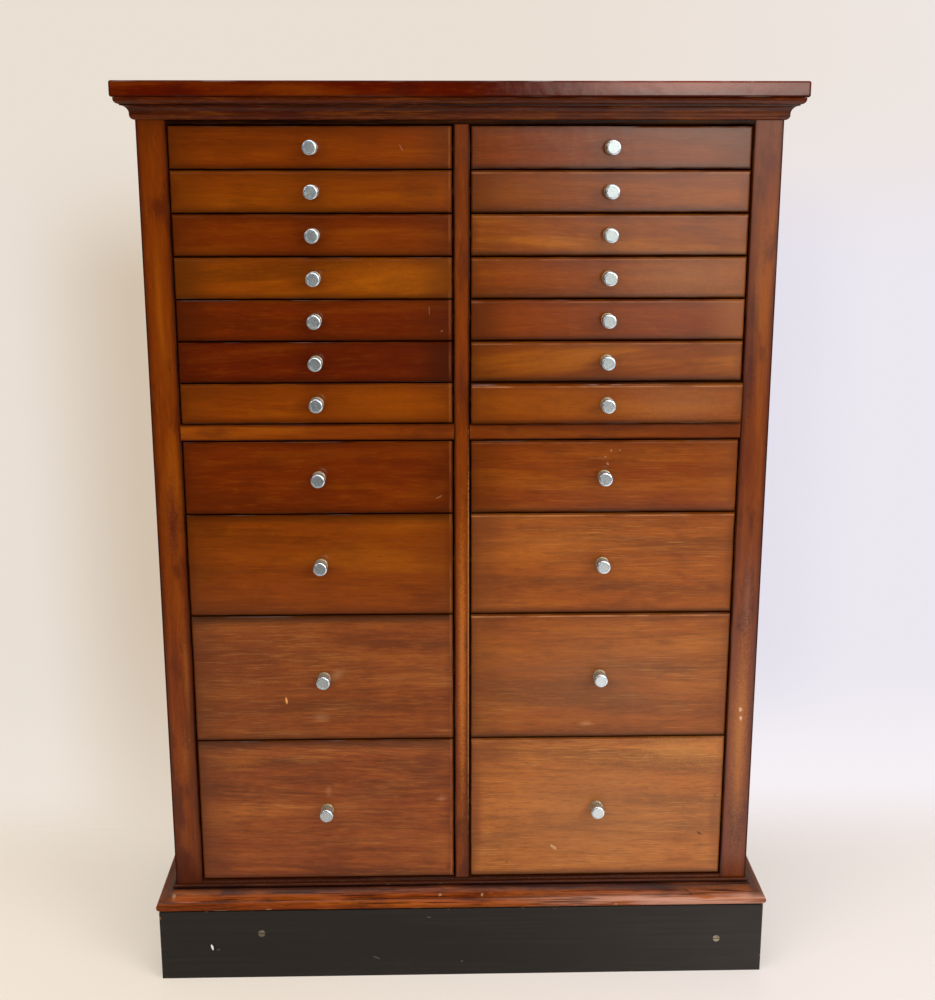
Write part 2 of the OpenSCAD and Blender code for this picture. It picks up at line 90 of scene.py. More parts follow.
def timesPlus(value, factor, more):
    return calc("MULTIPLY_ADD", value, factor, more)


def less(value, amount):
    return calc("SUBTRACT", value, amount)


def vectorCalc(operation, *values):
    result = "Value" if operation == "LENGTH" else "Vector"
    return addAfter(values, "ShaderNodeVectorMath", operation=operation)[result]


def split(vector):
    return addAfter([vector], "ShaderNodeSeparateXYZ")


def join(*values):
    return addAfter(values, "ShaderNodeCombineXYZ")[0]


def fade(value, low, high, start=0.0, end=1.0):  # smooth step from low to high
    inputs = {"Value": value, "From Min": low, "From Max": high, "To Min": start, "To Max": end}
    return addAfter([value], "ShaderNodeMapRange", inputs, interpolation_type="SMOOTHSTEP")[0]


def blend(factor, first, second):
    inputs = {0: factor, 6: first, 7: second}
    return addAfter(inputs.values(), "ShaderNodeMix", inputs, data_type="RGBA")[2]


def layered(colour, *layers):  # each layer is a mask and the colour that it shows
    for mask, tint in layers:
        colour = blend(mask, colour, tint)
    return colour


def noise(vector, scale, detail=2.0, roughness=0.5):  # scale is cycles per metre on each axis
    scaled = vectorCalc("MULTIPLY", vector, scale)
    inputs = {"Vector": scaled, "Scale": 1.0, "Detail": detail, "Roughness": roughness}
    return addAfter([vector], "ShaderNodeTexNoise", inputs)[0]


def bumpNormal(height, strength, distance):
    inputs = {"Height": height, "Strength": strength, "Distance": distance}
    return addAfter([height], "ShaderNodeBump", inputs)[0]


def readAttribute(tree, name, kind="Vector"):
    return addNode(tree, "ShaderNodeAttribute", attribute_name=name).outputs[kind]


def objectPoint(tree):
    return addNode(tree, "ShaderNodeTexCoord").outputs["Object"]


def paint(*chart):  # a paint chart colour, 0 to 255, as Blender's linear colour
    shares = [value / 255 for value in chart]
    return tuple(c / 12.92 if c < 0.04045 else ((c + 0.055) / 1.055) ** 2.4 for c in shares) + (1.0,)


def mixPaint(amount, first, second):
    return tuple(a + (b - a) * amount for a, b in zip(first, second))


def darker(share, colour):
    return paint(*(c * share for c in colour))


def openShader(material):
    tree = material.node_tree
    return tree, tree.nodes["Principled BSDF"]


def newMaterial(name):
    material = bpy.data.materials.new(name)
    material.use_nodes = True
    return material, *openShader(material)


def paintOver(shader, *layers):  # over the colour that it has so far
    socket = shader.inputs["Base Color"]
    wire(layered(socket.links[0].from_socket, *layers), socket)


def addSocket(tree, name, kind, way="INPUT"):
    return tree.interface.new_socket(name=name, in_out=way, socket_type="NodeSocket" + kind)


def addObject(name, data):
    thing = bpy.data.objects.new(name, data)
    scene.collection.objects.link(thing)
    return thing


# Wood. Every board carries three vectors: grain runs along, across and through it, place is measured
# from its middle, and half is half its size.

def edgeDistance(tree):  # metres from a point on a board's face to the face's nearest edge
    place = vectorCalc("ABSOLUTE", readAttribute(tree, "place"))
    room = split(vectorCalc("SUBTRACT", readAttribute(tree, "half"), place))
    low = calc("MINIMUM", room[0], room[1])
    high = calc("MAXIMUM", room[0], room[1])
    return calc("MAXIMUM", low, calc("MINIMUM", high, room[2]))


woodInputs = {
    "Body": paint(120, 52, 2), "Deep": paint(70, 22, 2), "Bright": paint(165, 88, 20),
    "Patch": paint(78, 30, 14), "Straw": paint(202, 138, 70), "Grime": paint(26, 10, 5),
    "Bands": 0.5, "Streaks": 0.4, "Flecks": 0.4, "Lean": 0.0, "Sway": 0.012, "Pores": 0.5, "Patches": 0.3,
    "Dry": 0.0, "Dirt": 0.4, "Dirt Width": 0.006, "Rub": 0.3, "Gap Shade": 0.0, "Board Tone": 0.0,
}
grainFigure = {  # cycles per metre along, across and through the grain, then the noise's detail and roughness
    "sway": ((2.4, 8.0, 8.0),), "band": ((3.2, 34.0, 20.0), 3.0), "pore": ((75.0, 1500.0, 900.0), 1.0),
    "streak": ((14.0, 210.0, 120.0), 2.0, 0.6), "fleck": ((58.0, 620.0, 420.0), 2.0, 0.6),
    "cloud": ((13.0, 30.0, 30.0), 4.0, 0.58), "boardTone": ((0.37, 0.37, 0.37), 0.0),
    "dryZone": ((4.0, 12.0, 9.0), 3.0, 0.6), "dryThread": ((20.0, 620.0, 420.0), 3.0, 0.6),
    "rub": ((22.0, 50.0, 50.0),), "shine": ((16.0, 40.0, 40.0),),
}
shows = {  # how high the noise is where a figure begins and where it is at its full strength
    "boardTone": (0.38, 0.62), "pore": (0.6, 0.72), "patch": (0.5, 0.68), "rub": (0.45, 0.62),
    "dryZone": (0.4, 0.62), "dryThread": (0.53, 0.68), "shine": (0.5, 0.66),
}
darkAndLight = {  # the same for the dark and the light parts of a figure
    "Bands": ((0.49, 0.32), (0.5, 0.7)), "Streaks": ((0.5, 0.3), (0.52, 0.74)),
    "Flecks": ((0.48, 0.28), (0.53, 0.76)),
}
edgeReach = {  # metres from a face's edge: where each begins and where it is at its full strength
    "grime": (0.0022, 0.0006), "rub": (0.0016, 0.0004), "varnish": (0.0008, 0.003),
    "gapShade": (0.0012, 0.0035), "gapShadeEnd": (0.0185, 0.0175),
}


def makeWoodFigure():
    tree = bpy.data.node_groups.new("boardFigure", "ShaderNodeTree")
    for name, value in woodInputs.items():
        addSocket(tree, name, "Float" if isinstance(value, float) else "Color").default_value = value
    for name in ("Colour", "Dull", "Height", "Varnish Left"):
        addSocket(tree, name, "Color" if name == "Colour" else "Float", "OUTPUT")
    given = tree.nodes.new("NodeGroupInput").outputs
    grain = readAttribute(tree, "grain")
    figure = lambda name, vector: noise(vector, *grainFigure[name])
    shown = lambda name, vector: fade(figure(name, vector), *shows[name])
    near = lambda name, distance: fade(distance, *edgeReach[name])

    along, across, through = split(grain)
    bent = timesPlus(less(figure("sway", grain), 0.5), given["Sway"], across)
    line = join(along, timesPlus(along, given["Lean"], bent), through)
    fleck, cloud = figure("fleck", line), figure("cloud", grain)
    tone = shown("boardTone", grain)  # nearly the same all over a board
    patterns = {"Bands": figure("band", line), "Streaks": figure("streak", line), "Flecks": fleck}
    streaks = [(times(fade(pattern, *reach), given[name]), given[tint])
               for name, pattern in patterns.items()
               for reach, tint in zip(darkAndLight[name], ("Deep", "Bright"))]
    pore = times(shown("pore", line), given["Pores"])
    zone = shown("dryZone", grain)  # where the finish has gone
    bare = times(zone, given["Dry"])
    dry = times(zone, shown("dryThread", line), given["Dry"])
    away = edgeDistance(tree)
    ragged = timesPlus(less(cloud, 0.5), given["Dirt Width"], away)
    ragged = calc("DIVIDE", ragged, given["Dirt Width"])
    rub = times(near("rub", away), shown("rub", grain), given["Rub"])
    depth = split(vectorCalc("ADD", readAttribute(tree, "place"), readAttribute(tree, "half")))[1]
    # gap paints shade, with some dirt, in the grime colour just behind a board's front face, inside the gaps
    # between boards
    gap = times(near("gapShade", depth), near("gapShadeEnd", depth), given["Gap Shade"])
    colour = layered(
        given["Body"], (times(tone, given["Board Tone"]), given["Deep"]), *streaks,
        (times(fade(cloud, *shows["patch"]), given["Patches"]), given["Patch"]),
        (times(pore, 0.5), given["Grime"]),
        (timesPlus(dry, 0.8, times(bare, 0.1)), given["Straw"]),
        (times(fade(ragged, 1.0, 0.0), given["Dirt"]), given["Patch"]),
        (times(near("grime", away), given["Dirt"]), given["Grime"]),
        (rub, given["Bright"]), (gap, given["Grime"]))
    rise = timesPlus(fleck, 0.6, times(dry, 0.5))
    shine = times(shown("shine", grain), 0.7)  # where an arris still shines
    addNode(tree, "NodeGroupOutput", {
        "Colour": colour,
        "Dull": timesPlus(pore, 0.3, timesPlus(bare, 0.6, times(cloud, 0.25))),
        "Height": less(rise, pore),
        "Varnish Left": calc("MAXIMUM", near("varnish", away), shine)})
    return tree


boardFigure = makeWoodFigure()
mark = {
    "middle": -0.185, "half": 0.15,        # marks stay near the front of the cabinet
    "ragged": 0.9, "scale": (420.0,) * 3,  # of their outlines
    "end": 1.5, "core": 1.1,               # where they fade, and where they are at their full strength
    "softFrom": 8 * mm, "softCore": 0.3,   # wide ones fade slowly
}


def addMarks(colour, marks):  # x, z, length, width in mm, turn, colour, strength
    tree = colour.id_data
    spot = objectPoint(tree)
    rough = noise(spot, mark["scale"])
    for x, z, length, width, turn, tint, strength in marks:
        local = addNode(tree, "ShaderNodeMapping", {
            "Vector": spot, "Location": (x * mm, mark["middle"], z * mm),
            "Rotation": (0, math.radians(turn), 0),
            "Scale": (length * mm / 2, mark["half"], width * mm / 2)}, vector_type="TEXTURE")
        away = timesPlus(rough, mark["ragged"], vectorCalc("LENGTH", local.outputs[0]))
        core = mark["core"] if width * mm < mark["softFrom"] else mark["softCore"]
        colour = blend(fade(away, mark["end"], core, 0.0, strength), colour, paint(*tint))
    return colour


def wood(name, look, marks=()):
    material, tree, shader = newMaterial(name)
    made = addNode(tree, "ShaderNodeGroup", look["figure"], node_tree=boardFigure).outputs
    fill(shader, {
        "Base Color": addMarks(made["Colour"], marks) if marks else made["Colour"],
        "Roughness": fade(made["Dull"], 0.0, 1.0, *look["roughness"]),
        "Normal": bumpNormal(made["Height"], look["bump"], 0.4 * mm), "Specular IOR Level": look["shine"],
        "Coat Weight": times(made["Varnish Left"], look["varnish"]),
        "Coat Roughness": look["varnishRoughness"]})
    if look["varnish"] > 0:
        ripple = noise(objectPoint(tree), (60.0, 60.0, 60.0))
        wire(bumpNormal(ripple, 0.12, 0.8 * mm), shader.inputs["Coat Normal"])
    return material


# making pieces from the frame's parts

def islandsOf(bm):  # the loose boards of a mesh, each as a list of faces
    left = set(bm.faces)
    islands = []
    for face in bm.faces:
        if face not in left:
            continue
        left.discard(face)
        island, waiting = [], [face]
        while waiting:
            current = waiting.pop()
            island.append(current)
            for edge in current.edges:
                for other in edge.link_faces:
                    if other in left:
                        left.discard(other)
                        waiting.append(other)
        islands.append(island)
    return islands


def boxOf(faces):
    points = [v.co for face in faces for v in face.verts]
    return (Vector([min(p[i] for p in points) for i in range(3)]),
            Vector([max(p[i] for p in points) for i in range(3)]))


def easeEdges(bm, size):  # rounds the long outer edges of every board in the mesh
    near = 2e-5
    chosen = []
    for island in islandsOf(bm):
        planes = [(i, corner[i]) for corner in boxOf(island) for i in range(3)]
        for edge in {e for face in island for e in face.edges}:
            touched = sum(all(abs(v.co[i] - plane) < near for v in edge.verts) for i, plane in planes)
            if touched >= 2 and edge.calc_length() > 4 * size:
                chosen.append(edge)
    bmesh.ops.bevel(bm, geom=chosen, offset=size, segments=3, profile=0.5, affect="EDGES",
                    clamp_overlap=False)


def writeBoards(bm, seed, grainAxis=None):  # gives every board its own grain, place and half vectors
    grain, place, half = (bm.verts.layers.float_vector.new(name) for name in ("grain", "place", "half"))
    draw = random.Random(seed)
    boards = [(*boxOf(island), island) for island in islandsOf(bm)]
    boards.sort(key=lambda board: tuple(round(c, 4) for c in board[0]))
    for low, high, island in boards:
        size = high - low
        axis = max(range(3), key=lambda i: size[i]) if grainAxis is None else grainAxis
        thin = min((i for i in range(3) if i != axis), key=lambda i: size[i])
        wide = 3 - axis - thin
        start = Vector([draw.uniform(1, 9) for _ in range(3)])
        middle = (low + high) / 2
        for vert in {v for face in island for v in face.verts}:
            local = vert.co - middle
            vert[grain] = start + Vector((local[axis], local[wide], local[thin]))
            vert[place] = local
            vert[half] = size / 2


def finishPiece(name, bm, material, body, nodeName, smoothAngle=40.0, flatFirst=False):
    for face in bm.faces:
        face.smooth = True
    mesh = bpy.data.meshes.new(name)
    bm.to_mesh(mesh)
    bm.free()
    mesh.set_sharp_from_angle(angle=math.radians(smoothAngle))
    mesh.materials.append(material)
    piece = addObject(name, mesh)
    weighted = piece.modifiers.new("weightedNormal", "WEIGHTED_NORMAL")
    weighted.keep_sharp = True
    if flatFirst:  # wide faces stay flat
        weighted.weight, weighted.thresh = 100, 1e-7
    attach(piece, body)
    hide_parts(nodeName)


def partMesh(nodeName, keep=None):  # a clean copy of a part, or of those of its boards that keep picks
    bm = bmesh.new()
    bm.from_mesh(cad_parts[nodeName].data)
    for layers in (bm.loops.layers.uv, bm.loops.layers.color, bm.loops.layers.float_color):
        for layer in list(layers.values()):
            layers.remove(layer)
    bmesh.ops.remove_doubles(bm, verts=bm.verts, dist=1e-5)
    bmesh.ops.dissolve_limit(bm, angle_limit=math.radians(1.0), verts=bm.verts, edges=bm.edges)
    if keep is not None:
        unwanted = [face for island in islandsOf(bm) if not keep(*boxOf(island)) for face in island]
        bmesh.ops.delete(bm, geom=unwanted, context="FACES")
    return bm


def boardPiece(name, nodeName, body, material, seed, ease=0.0, keep=None, grainAxis=None):
    bm = partMesh(nodeName, keep)
    if ease:
        easeEdges(bm, ease)
    writeBoards(bm, seed, grainAxis)
    finishPiece(name, bm, material, body, nodeName, flatFirst=True)


# Drawers

pale = (214, 168, 132)
dark = (38, 16, 10)
redBrown = (92, 30, 14)
golden = (182, 106, 34)
drawer = {
    "frontThickness": 19.5 * mm,
    "russet": (94, 25, 0),       # the reddest front
    "honey": (152, 80, 2),       # the palest front
    "dryFrom": 0.2,              # fronts drier than this have lost part of their varnish
    "varnished": {"roughness": (0.34, 0.7), "varnish": 1.0, "varnishRoughness": 0.16},
    "worn": {"roughness": (0.45, 0.85), "varnish": 0.55, "varnishRoughness": 0.32},
    "dryness": {"Streaks": (0.18, 0.45), "Flecks": (0.24, 0.5), "Pores": (0.3, 0.4)},  # least, added
    # knobShade: dirt from hands and the knob's painted shadow, a dark soft mark round each knob
    "knobShade": (1, -4, 40, 30, 0, dark, 0.4),
    "lowShade": {"left": 0.35, "right": 0.6},   # painted shade along the lower edges
    "sideLight": {"left": 0.45, "right": 0.0},  # painted highlight on the right arris, where the window catches it
}
frontEdges = {  # metres from an edge: where each begins and where it is at its full strength
    "end": (0.06, 0.004), "topShade": (0.014, 0.002), "lowShade": (0.0065, 0.002),
    "topHighlight": (0.0016, 0.0026), "topHighlightEnd": (0.0044, 0.003),
    "sideHighlight": (0.001, 0.0025), "sideHighlightEnd": (0.005, 0.0035),
}

# each front from the top down: how honey coloured it is, how light, its bands, how its grain leans, how dry
fronts = {
    "left": [(0.44, 0.99, 0.30, 0.00, 0.00), (0.52, 0.94, 0.26, 0.00, 0.00), (0.30, 0.94, 0.34, 0.01, 0.00),
             (0.62, 0.98, 0.45, -0.06, 0.02), (0.16, 0.97, 0.30, 0.00, 0.00), (0.02, 0.96, 0.38, -0.01, 0.00),
             (0.50, 1.00, 0.28, 0.01, 0.00), (0.22, 0.97, 0.30, 0.00, 0.00), (0.52, 0.98, 0.32, 0.01, 0.03),
             (0.62, 0.96, 0.40, 0.00, 0.45), (0.60, 1.00, 0.55, 0.03, 0.55)],
    "right": [(0.42, 0.96, 0.38, -0.02, 0.03), (0.50, 0.93, 0.28, 0.00, 0.08), (0.62, 0.95, 0.65, 0.02, 0.12),
              (0.54, 0.99, 0.32, 0.00, 0.08), (0.40, 1.02, 0.32, 0.00, 0.02), (0.57, 0.97, 0.65, -0.08, 0.05),
              (0.62, 1.00, 0.32, 0.01, 0.03), (0.46, 1.01, 0.32, 0.00, 0.14), (0.74, 1.03, 0.45, 0.00, 0.34),
              (0.80, 1.00, 0.45, 0.01, 0.44), (1.04, 1.04, 0.50, 0.01, 0.70)],
}

# how dark the left end, the right end and the top of each front are, from the top down: light is below zero,
# where an end gets a painted sheen and the top a painted highlight line; above zero the top gets painted
# shade
frontEnds = {
    "left": [(0.6, 0.5, 0.0), (0.4, 0.0, -0.08), (0.4, 0.4, -0.06), (0.85, 0.6, -0.08), (0.75, 0.6, 0.0),
             (0.4, 0.95, 0.0), (0.4, 0.25, -0.04), (0.3, 0.4, 0.0), (0.4, 0.3, 0.45), (0.5, 0.0, 0.75),
             (0.5, 0.0, 0.45)],
    "right": [(0.2, 0.45, 0.2), (0.5, 0.0, -0.3), (0.1, -0.1, -0.25), (0.35, -0.25, -0.2),
              (0.8, -0.55, -0.25), (0.5, -0.2, -0.25), (0.4, -0.1, -0.5), (0.5, -0.2, -0.2),
              (0.5, 0.15, -0.5), (0.4, 0.25, -0.6), (0.0, -0.1, -0.1)],
}

frontMarks = {  # from the middle of the front
    "left_1": [(106, 0, 10, 1.2, 60, pale, 0.25)],
    "left_3": [(95, 0, 230, 80, 0, (98, 32, 0), 0.3)],
    "left_4": [(95, 4, 200, 60, 0, (160, 88, 8), 0.35)],
    "left_5": [(95, 0, 230, 80, 0, (80, 18, 0), 0.4), (138, 12, 13, 1.2, 88, pale, 0.25),
               (153, -13, 3, 2, 0, pale, 0.6)],
    "left_6": [(95, 0, 230, 80, 0, (70, 14, 0), 0.45)],
    "left_7": [(95, 0, 230, 80, 0, (150, 76, 0), 0.3)],
    "left_8": [(149, -25, 10, 2.0, -30, pale, 0.3)],
    "left_10": [(-95, 10, 240, 220, 0, (98, 38, 10), 0.55), (-49, -30, 11, 3.2, 84, (232, 160, 92), 0.85),
                (16, 4, 34, 20, -40, (190, 140, 96), 0.3), (-4, -54, 30, 16, 0, (190, 140, 96), 0.3)],
    "left_11": [(2, 26, 12, 22, 0, (196, 138, 88), 0.3), (150, 14, 18, 9, 0, (206, 150, 100), 0.4),
                (-110, 70, 110, 26, -6, golden, 0.35), (-150, -72, 90, 40, 0, redBrown, 0.4),
                (90, 6, 200, 16, -8, redBrown, 0.35), (-60, -12, 180, 12, -5, redBrown, 0.3)],
    "right_2": [(-100, 0, 220, 80, 0, (114, 60, 0), 0.35)],
    # painted sheen: the pale right half of right_4
    "right_4": [(95, 0, 230, 80, 0, (160, 112, 66), 0.3)],
    "right_5": [(-100, 0, 220, 80, 0, (112, 48, 0), 0.4)],
    "right_6": [(-95, -6, 220, 70, 0, (112, 50, 2), 0.4)],
    # painted sheen: the pale second mark, on the right half of right_7
    "right_7": [(-95, 0, 230, 80, 0, (118, 50, 0), 0.45), (95, 0, 230, 80, 0, (162, 110, 66), 0.3)],
    "right_8": [(8, 33, 3, 3, 0, pale, 0.3), (19, 33, 3, 2, 0, pale, 0.3), (1, 25, 3, 3, 0, pale, 0.25),
                (4, 16, 5, 3, 60, pale, 0.3)],
    "right_9": [(-60, 26, 200, 50, 0, golden, 0.3), (20, -30, 280, 9, -1, redBrown, 0.3),
                (-150, 50, 80, 40, 10, redBrown, 0.4), (60, 12, 260, 8, 0, redBrown, 0.25)],
    "right_10": [(-130, 66, 150, 40, 5, redBrown, 0.4), (-90, 10, 200, 12, 0, (110, 66, 44), 0.35),
                 (120, 34, 150, 26, 0, golden, 0.3), (0, -10, 460, 230, 0, (128, 88, 62), 0.3),
                 (-16, -66, 26, 9, 0, (212, 160, 104), 0.35)],
    "right_11": [(-56, -59, 7, 2.6, 50, dark, 0.8), (138, -40, 9, 3.4, 35, dark, 0.85),
                 (-118, -79, 4, 2.4, 20, dark, 0.6), (157, 14, 5, 2.6, 60, dark, 0.6),
                 (110, 78, 150, 60, 4, (214, 150, 78), 0.3), (-145, 70, 120, 60, 0, redBrown, 0.35),
                 (0, -10, 460, 260, 0, (160, 116, 78), 0.3), (-158, -10, 210, 24, 90, redBrown, 0.45),
                 (0, -92, 330, 18, 0, redBrown, 0.35), (155, -20, 150, 18, 90, redBrown, 0.35),
                 (-56, -58, 12, 5, 40, (226, 184, 130), 0.5)],
}


def frontMaterial(side, row, middle):
    honey, light, bands, lean, dry = fronts[side][row - 1]
    red, green, blue = (c * light for c in mixPaint(honey, drawer["russet"], drawer["honey"]))
    body = (red, green + 8 * dry ** 2, blue + 60 * dry ** 2)
    look = {
        "figure": {
            "Body": paint(*body), "Deep": darker(0.68, body),
            "Bright": paint(*mixPaint(0.42, body, (208, 128, 3 + 80 * dry))),
            "Patch": paint(*mixPaint(0.6, body, (52, 14, 2))),
            **{name: start + more * dry for name, (start, more) in drawer["dryness"].items()},
            "Bands": 1.25 * bands, "Lean": lean, "Sway": 0.012 + 0.02 * bands, "Patches": 0.34, "Dry": dry,
            "Dirt": 0.5, "Dirt Width": 0.014, "Rub": 0.3, "Gap Shade": 0.65},
        "bump": 0.12 + 0.5 * dry,
        "shine": 0.0,
        **drawer["varnished" if dry < drawer["dryFrom"] else "worn"],
    }
    marks = [(middle.x / mm + x, middle.z / mm + z, *rest)
             for x, z, *rest in frontMarks.get(f"{side}_{row}", []) + [drawer["knobShade"]]]
    material = wood(f"front_{side}_{row}", look, marks)
    paintEdgeLightAndShade(material, body, frontEnds[side][row - 1], drawer["lowShade"][side], drawer["sideLight"][side])
    return material


def paintEdgeLightAndShade(material, body, ends, lowShade, sideLight):  # painted light and shade on a front's edges, and darker ends
    tree, shader = openShader(material)
    place, half = readAttribute(tree, "place"), readAttribute(tree, "half")
    right, _, top = split(vectorCalc("SUBTRACT", half, place))
    left, _, low = split(vectorCalc("ADD", half, place))
    edge = lambda name, away, strength=1.0: fade(away, *frontEdges[name], 0.0, strength)
    line = lambda name, away, strength: times(edge(name, away), edge(name + "End", away, strength), broken)
    broken = fade(noise(readAttribute(tree, "grain"), (26.0, 30.0, 30.0), 3.0), 0.36, 0.6, 0.2, 1.0)
    # the darkest tint is painted shade along the top and the bottom
    deep, paintedShade = darker(0.66, body), darker(0.4, body)
    # bright paints a sheen on lighter ends and a highlight line on the right arris
    bright = paint(*mixPaint(0.3, body, (214, 170, 130)))
    # lit paints a highlight line along the top arris
    lit = paint(*mixPaint(0.6, body, (240, 186, 146)))
    # ends below zero are lighter with a painted sheen, ends above zero are darker
    sidesOf = [(times(edge("end", away), abs(amount)), deep if amount > 0 else bright)
               for amount, away in zip(ends, (left, right))]
    if ends[2] > 0:
        over = (edge("topShade", top, ends[2]), paintedShade)
    else:
        over = (line("topHighlight", top, -ends[2]), lit)
    paintOver(shader, *sidesOf, over, (line("sideHighlight", right, sideLight), bright),
              (edge("lowShade", low, lowShade), paintedShade))


boxWood = {
    "figure": {"Body": paint(172, 124, 78), "Deep": paint(132, 86, 48), "Bright": paint(202, 158, 108),
               "Patch": paint(150, 100, 58), "Grime": paint(70, 44, 26), "Bands": 0.6, "Streaks": 0.5,
               "Pores": 0.5, "Patches": 0.35, "Dirt": 0.35, "Rub": 0.1, "Board Tone": 0.35},
    "roughness": (0.6, 0.85), "bump": 0.4, "shine": 0.3, "varnish": 0.0, "varnishRoughness": 0.3,
}
insideFigure = {**boxWood["figure"], "Body": paint(138, 88, 50), "Deep": paint(98, 56, 30),
                "Bright": paint(166, 112, 68), "Patch": paint(108, 66, 40)}
backFigure = {**insideFigure, "Dirt": 0.9, "Dirt Width": 0.012, "Board Tone": 0.9, "Patches": 0.5}
drawerBoxWood = wood("drawer_box_wood", boxWood)
innerWoods = {"inside": wood("case_inside_wood", {**boxWood, "figure": insideFigure}),
              "back": wood("back_board_wood", {**boxWood, "figure": backFigure})}

frontCentres = {}
for side in sides:
    for row in range(1, rows + 1):
        nodeName, body = f"drawer_{side}_{row}", f"{side}_{row}"
        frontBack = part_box(nodeName)[0].y + drawer["frontThickness"]
        isFront = lambda low, high: high.y < frontBack
        isBox = lambda low, high: high.y >= frontBack
        bm = partMesh(nodeName, isFront)
        low, high = boxOf(bm.faces)
        bm.free()
        frontCentres[body] = Vector(((low.x + high.x) / 2, low.y, (low.z + high.z) / 2))
        seed = 100 * (side == "right") + row
        boardPiece(f"front_{body}", nodeName, body,
                   frontMaterial(side, row, frontCentres[body]), seed, keep=isFront, grainAxis=0)
        boardPiece(f"box_{body}", nodeName, body, drawerBoxWood, seed + 50, keep=isBox)
print("drawers:", 2 * rows, "fronts and boxes")


# Case

caseFinish = {  # colour, bands, dirt and its width, patches, then varnish and its roughness where they differ
    "left_stile": ((113, 46, 1), 0.45, 0.8, 0.008, 0.7),
    "right_stile": ((112, 49, 11), 0.45, 0.8, 0.008, 0.7),
    "centre_stile": ((118, 49, 0), 0.6, 0.8, 0.005, 0.7),
    "rail": ((116, 48, 2), 0.5, 0.6, 0.004, 0.5),
    # painted shade: the top rail sits in the shadow under the cornice and is coloured almost black
    "top_rail": ((22, 7, 2), 0.4, 0.6, 0.004, 0.3, 0.15),
    "side": ((104, 42, 4), 0.6, 0.5, 0.02, 0.4),
    "top": ((78, 15, 0), 0.4, 0.5, 0.004, 0.6, 0.9, 0.07),
}
caseEase = 0.6 * mm
footGrime = {"left_stile": (0.13, 0.19, 0.75), "right_stile": (0.13, 0.17, 0.12)}  # metres up, strength
footLook = {"colour": (58, 22, 14), "scale": (40.0, 40.0, 16.0), "varnishLost": 0.75}


def caseLook(colour, bands, dirt, dirtWidth, patches, varnish=0.6, varnishRoughness=0.2):
    return {
        "figure": {
            "Body": paint(*colour), "Deep": darker(0.6, colour),
            "Bright": paint(*mixPaint(0.45, colour, (208, 122, 12))),
            "Patch": paint(*mixPaint(0.65, colour, (44, 10, 8))),
            "Bands": bands, "Streaks": 0.16, "Flecks": 0.2, "Sway": 0.03, "Pores": 0.3, "Patches": patches,
            "Dirt": dirt, "Dirt Width": dirtWidth, "Rub": 0.12},
        "roughness": (0.36, 0.7), "bump": 0.15, "shine": 0.0, "varnish": varnish,
        "varnishRoughness": varnishRoughness,
    }


def addFootGrime(material, low, high, strength):  # dirt, and varnish gone, where the boards meet the base
    tree, shader = openShader(material)
    spot, coat = objectPoint(tree), shader.inputs["Coat Weight"]
    ragged = timesPlus(noise(spot, footLook["scale"], 3.0), high - low, split(spot)[2])
    foot = fade(ragged, high + 0.5 * (high - low), low + 0.35 * (high - low))
    paintOver(shader, (times(foot, strength), paint(*footLook["colour"])))
    wire(times(coat.links[0].from_socket, timesPlus(foot, -footLook["varnishLost"], 1.0)), coat)


maroon = (76, 24, 16)
amber = (168, 92, 30)
caseMarks = {
    "left_stile": [(-360, 620, 180, 24, 90, maroon, 0.9), (-367, 440, 190, 14, 90, maroon, 0.5),
                   (-353, 430, 180, 10, 90, amber, 0.4), (-360, 310, 100, 22, 90, amber, 0.3),
                   (-367, 225, 100, 14, 90, maroon, 0.5), (-363, 900, 210, 12, 90, (146, 76, 2), 0.45)],
    "centre_stile": [(0, 800, 110, 16, 90, maroon, 0.6), (0, 430, 520, 13, 90, (182, 104, 36), 0.85),
                     # the thin pale mark is a painted highlight on the centre stile's right arris
                     (8, 470, 560, 1.6, 90, (206, 150, 92), 0.5)],
    "right_stile": [(362, 1060, 130, 30, 90, (96, 40, 22), 0.4), (354, 815, 170, 20, 90, (66, 20, 16), 0.9),
                    (367, 985, 130, 16, 90, (150, 80, 40), 0.3), (355, 700, 120, 18, 90, maroon, 0.5),
                    (364, 520, 150, 18, 90, (158, 98, 66), 0.35), (351, 600, 160, 9, 90, maroon, 0.5),
                    (363, 330, 380, 26, 90, (184, 114, 44), 0.65),
                    (359, 930, 240, 12, 90, (150, 92, 40), 0.35), (362.5, 368, 7, 4.4, 70, pale, 0.8),
                    (363.5, 356, 7, 4.4, 80, pale, 0.8)],
    # painted shade: a near-black band along the bottom of the lowest rail, above the base moulding
    "rail": [(0, 130, 2400, 18, 0, (28, 11, 8), 0.92)],
    "top": [(270, 1148, 420, 30, 0, (134, 44, 16), 0.7), (250, 1133, 520, 14, 0, (40, 12, 6), 0.6)],
}
caseWoods = {name: wood(name + "_mahogany", caseLook(*values), caseMarks.get(name, ()))
             for name, values in caseFinish.items()}
for name, values in footGrime.items():
    addFootGrime(caseWoods[name], *values)

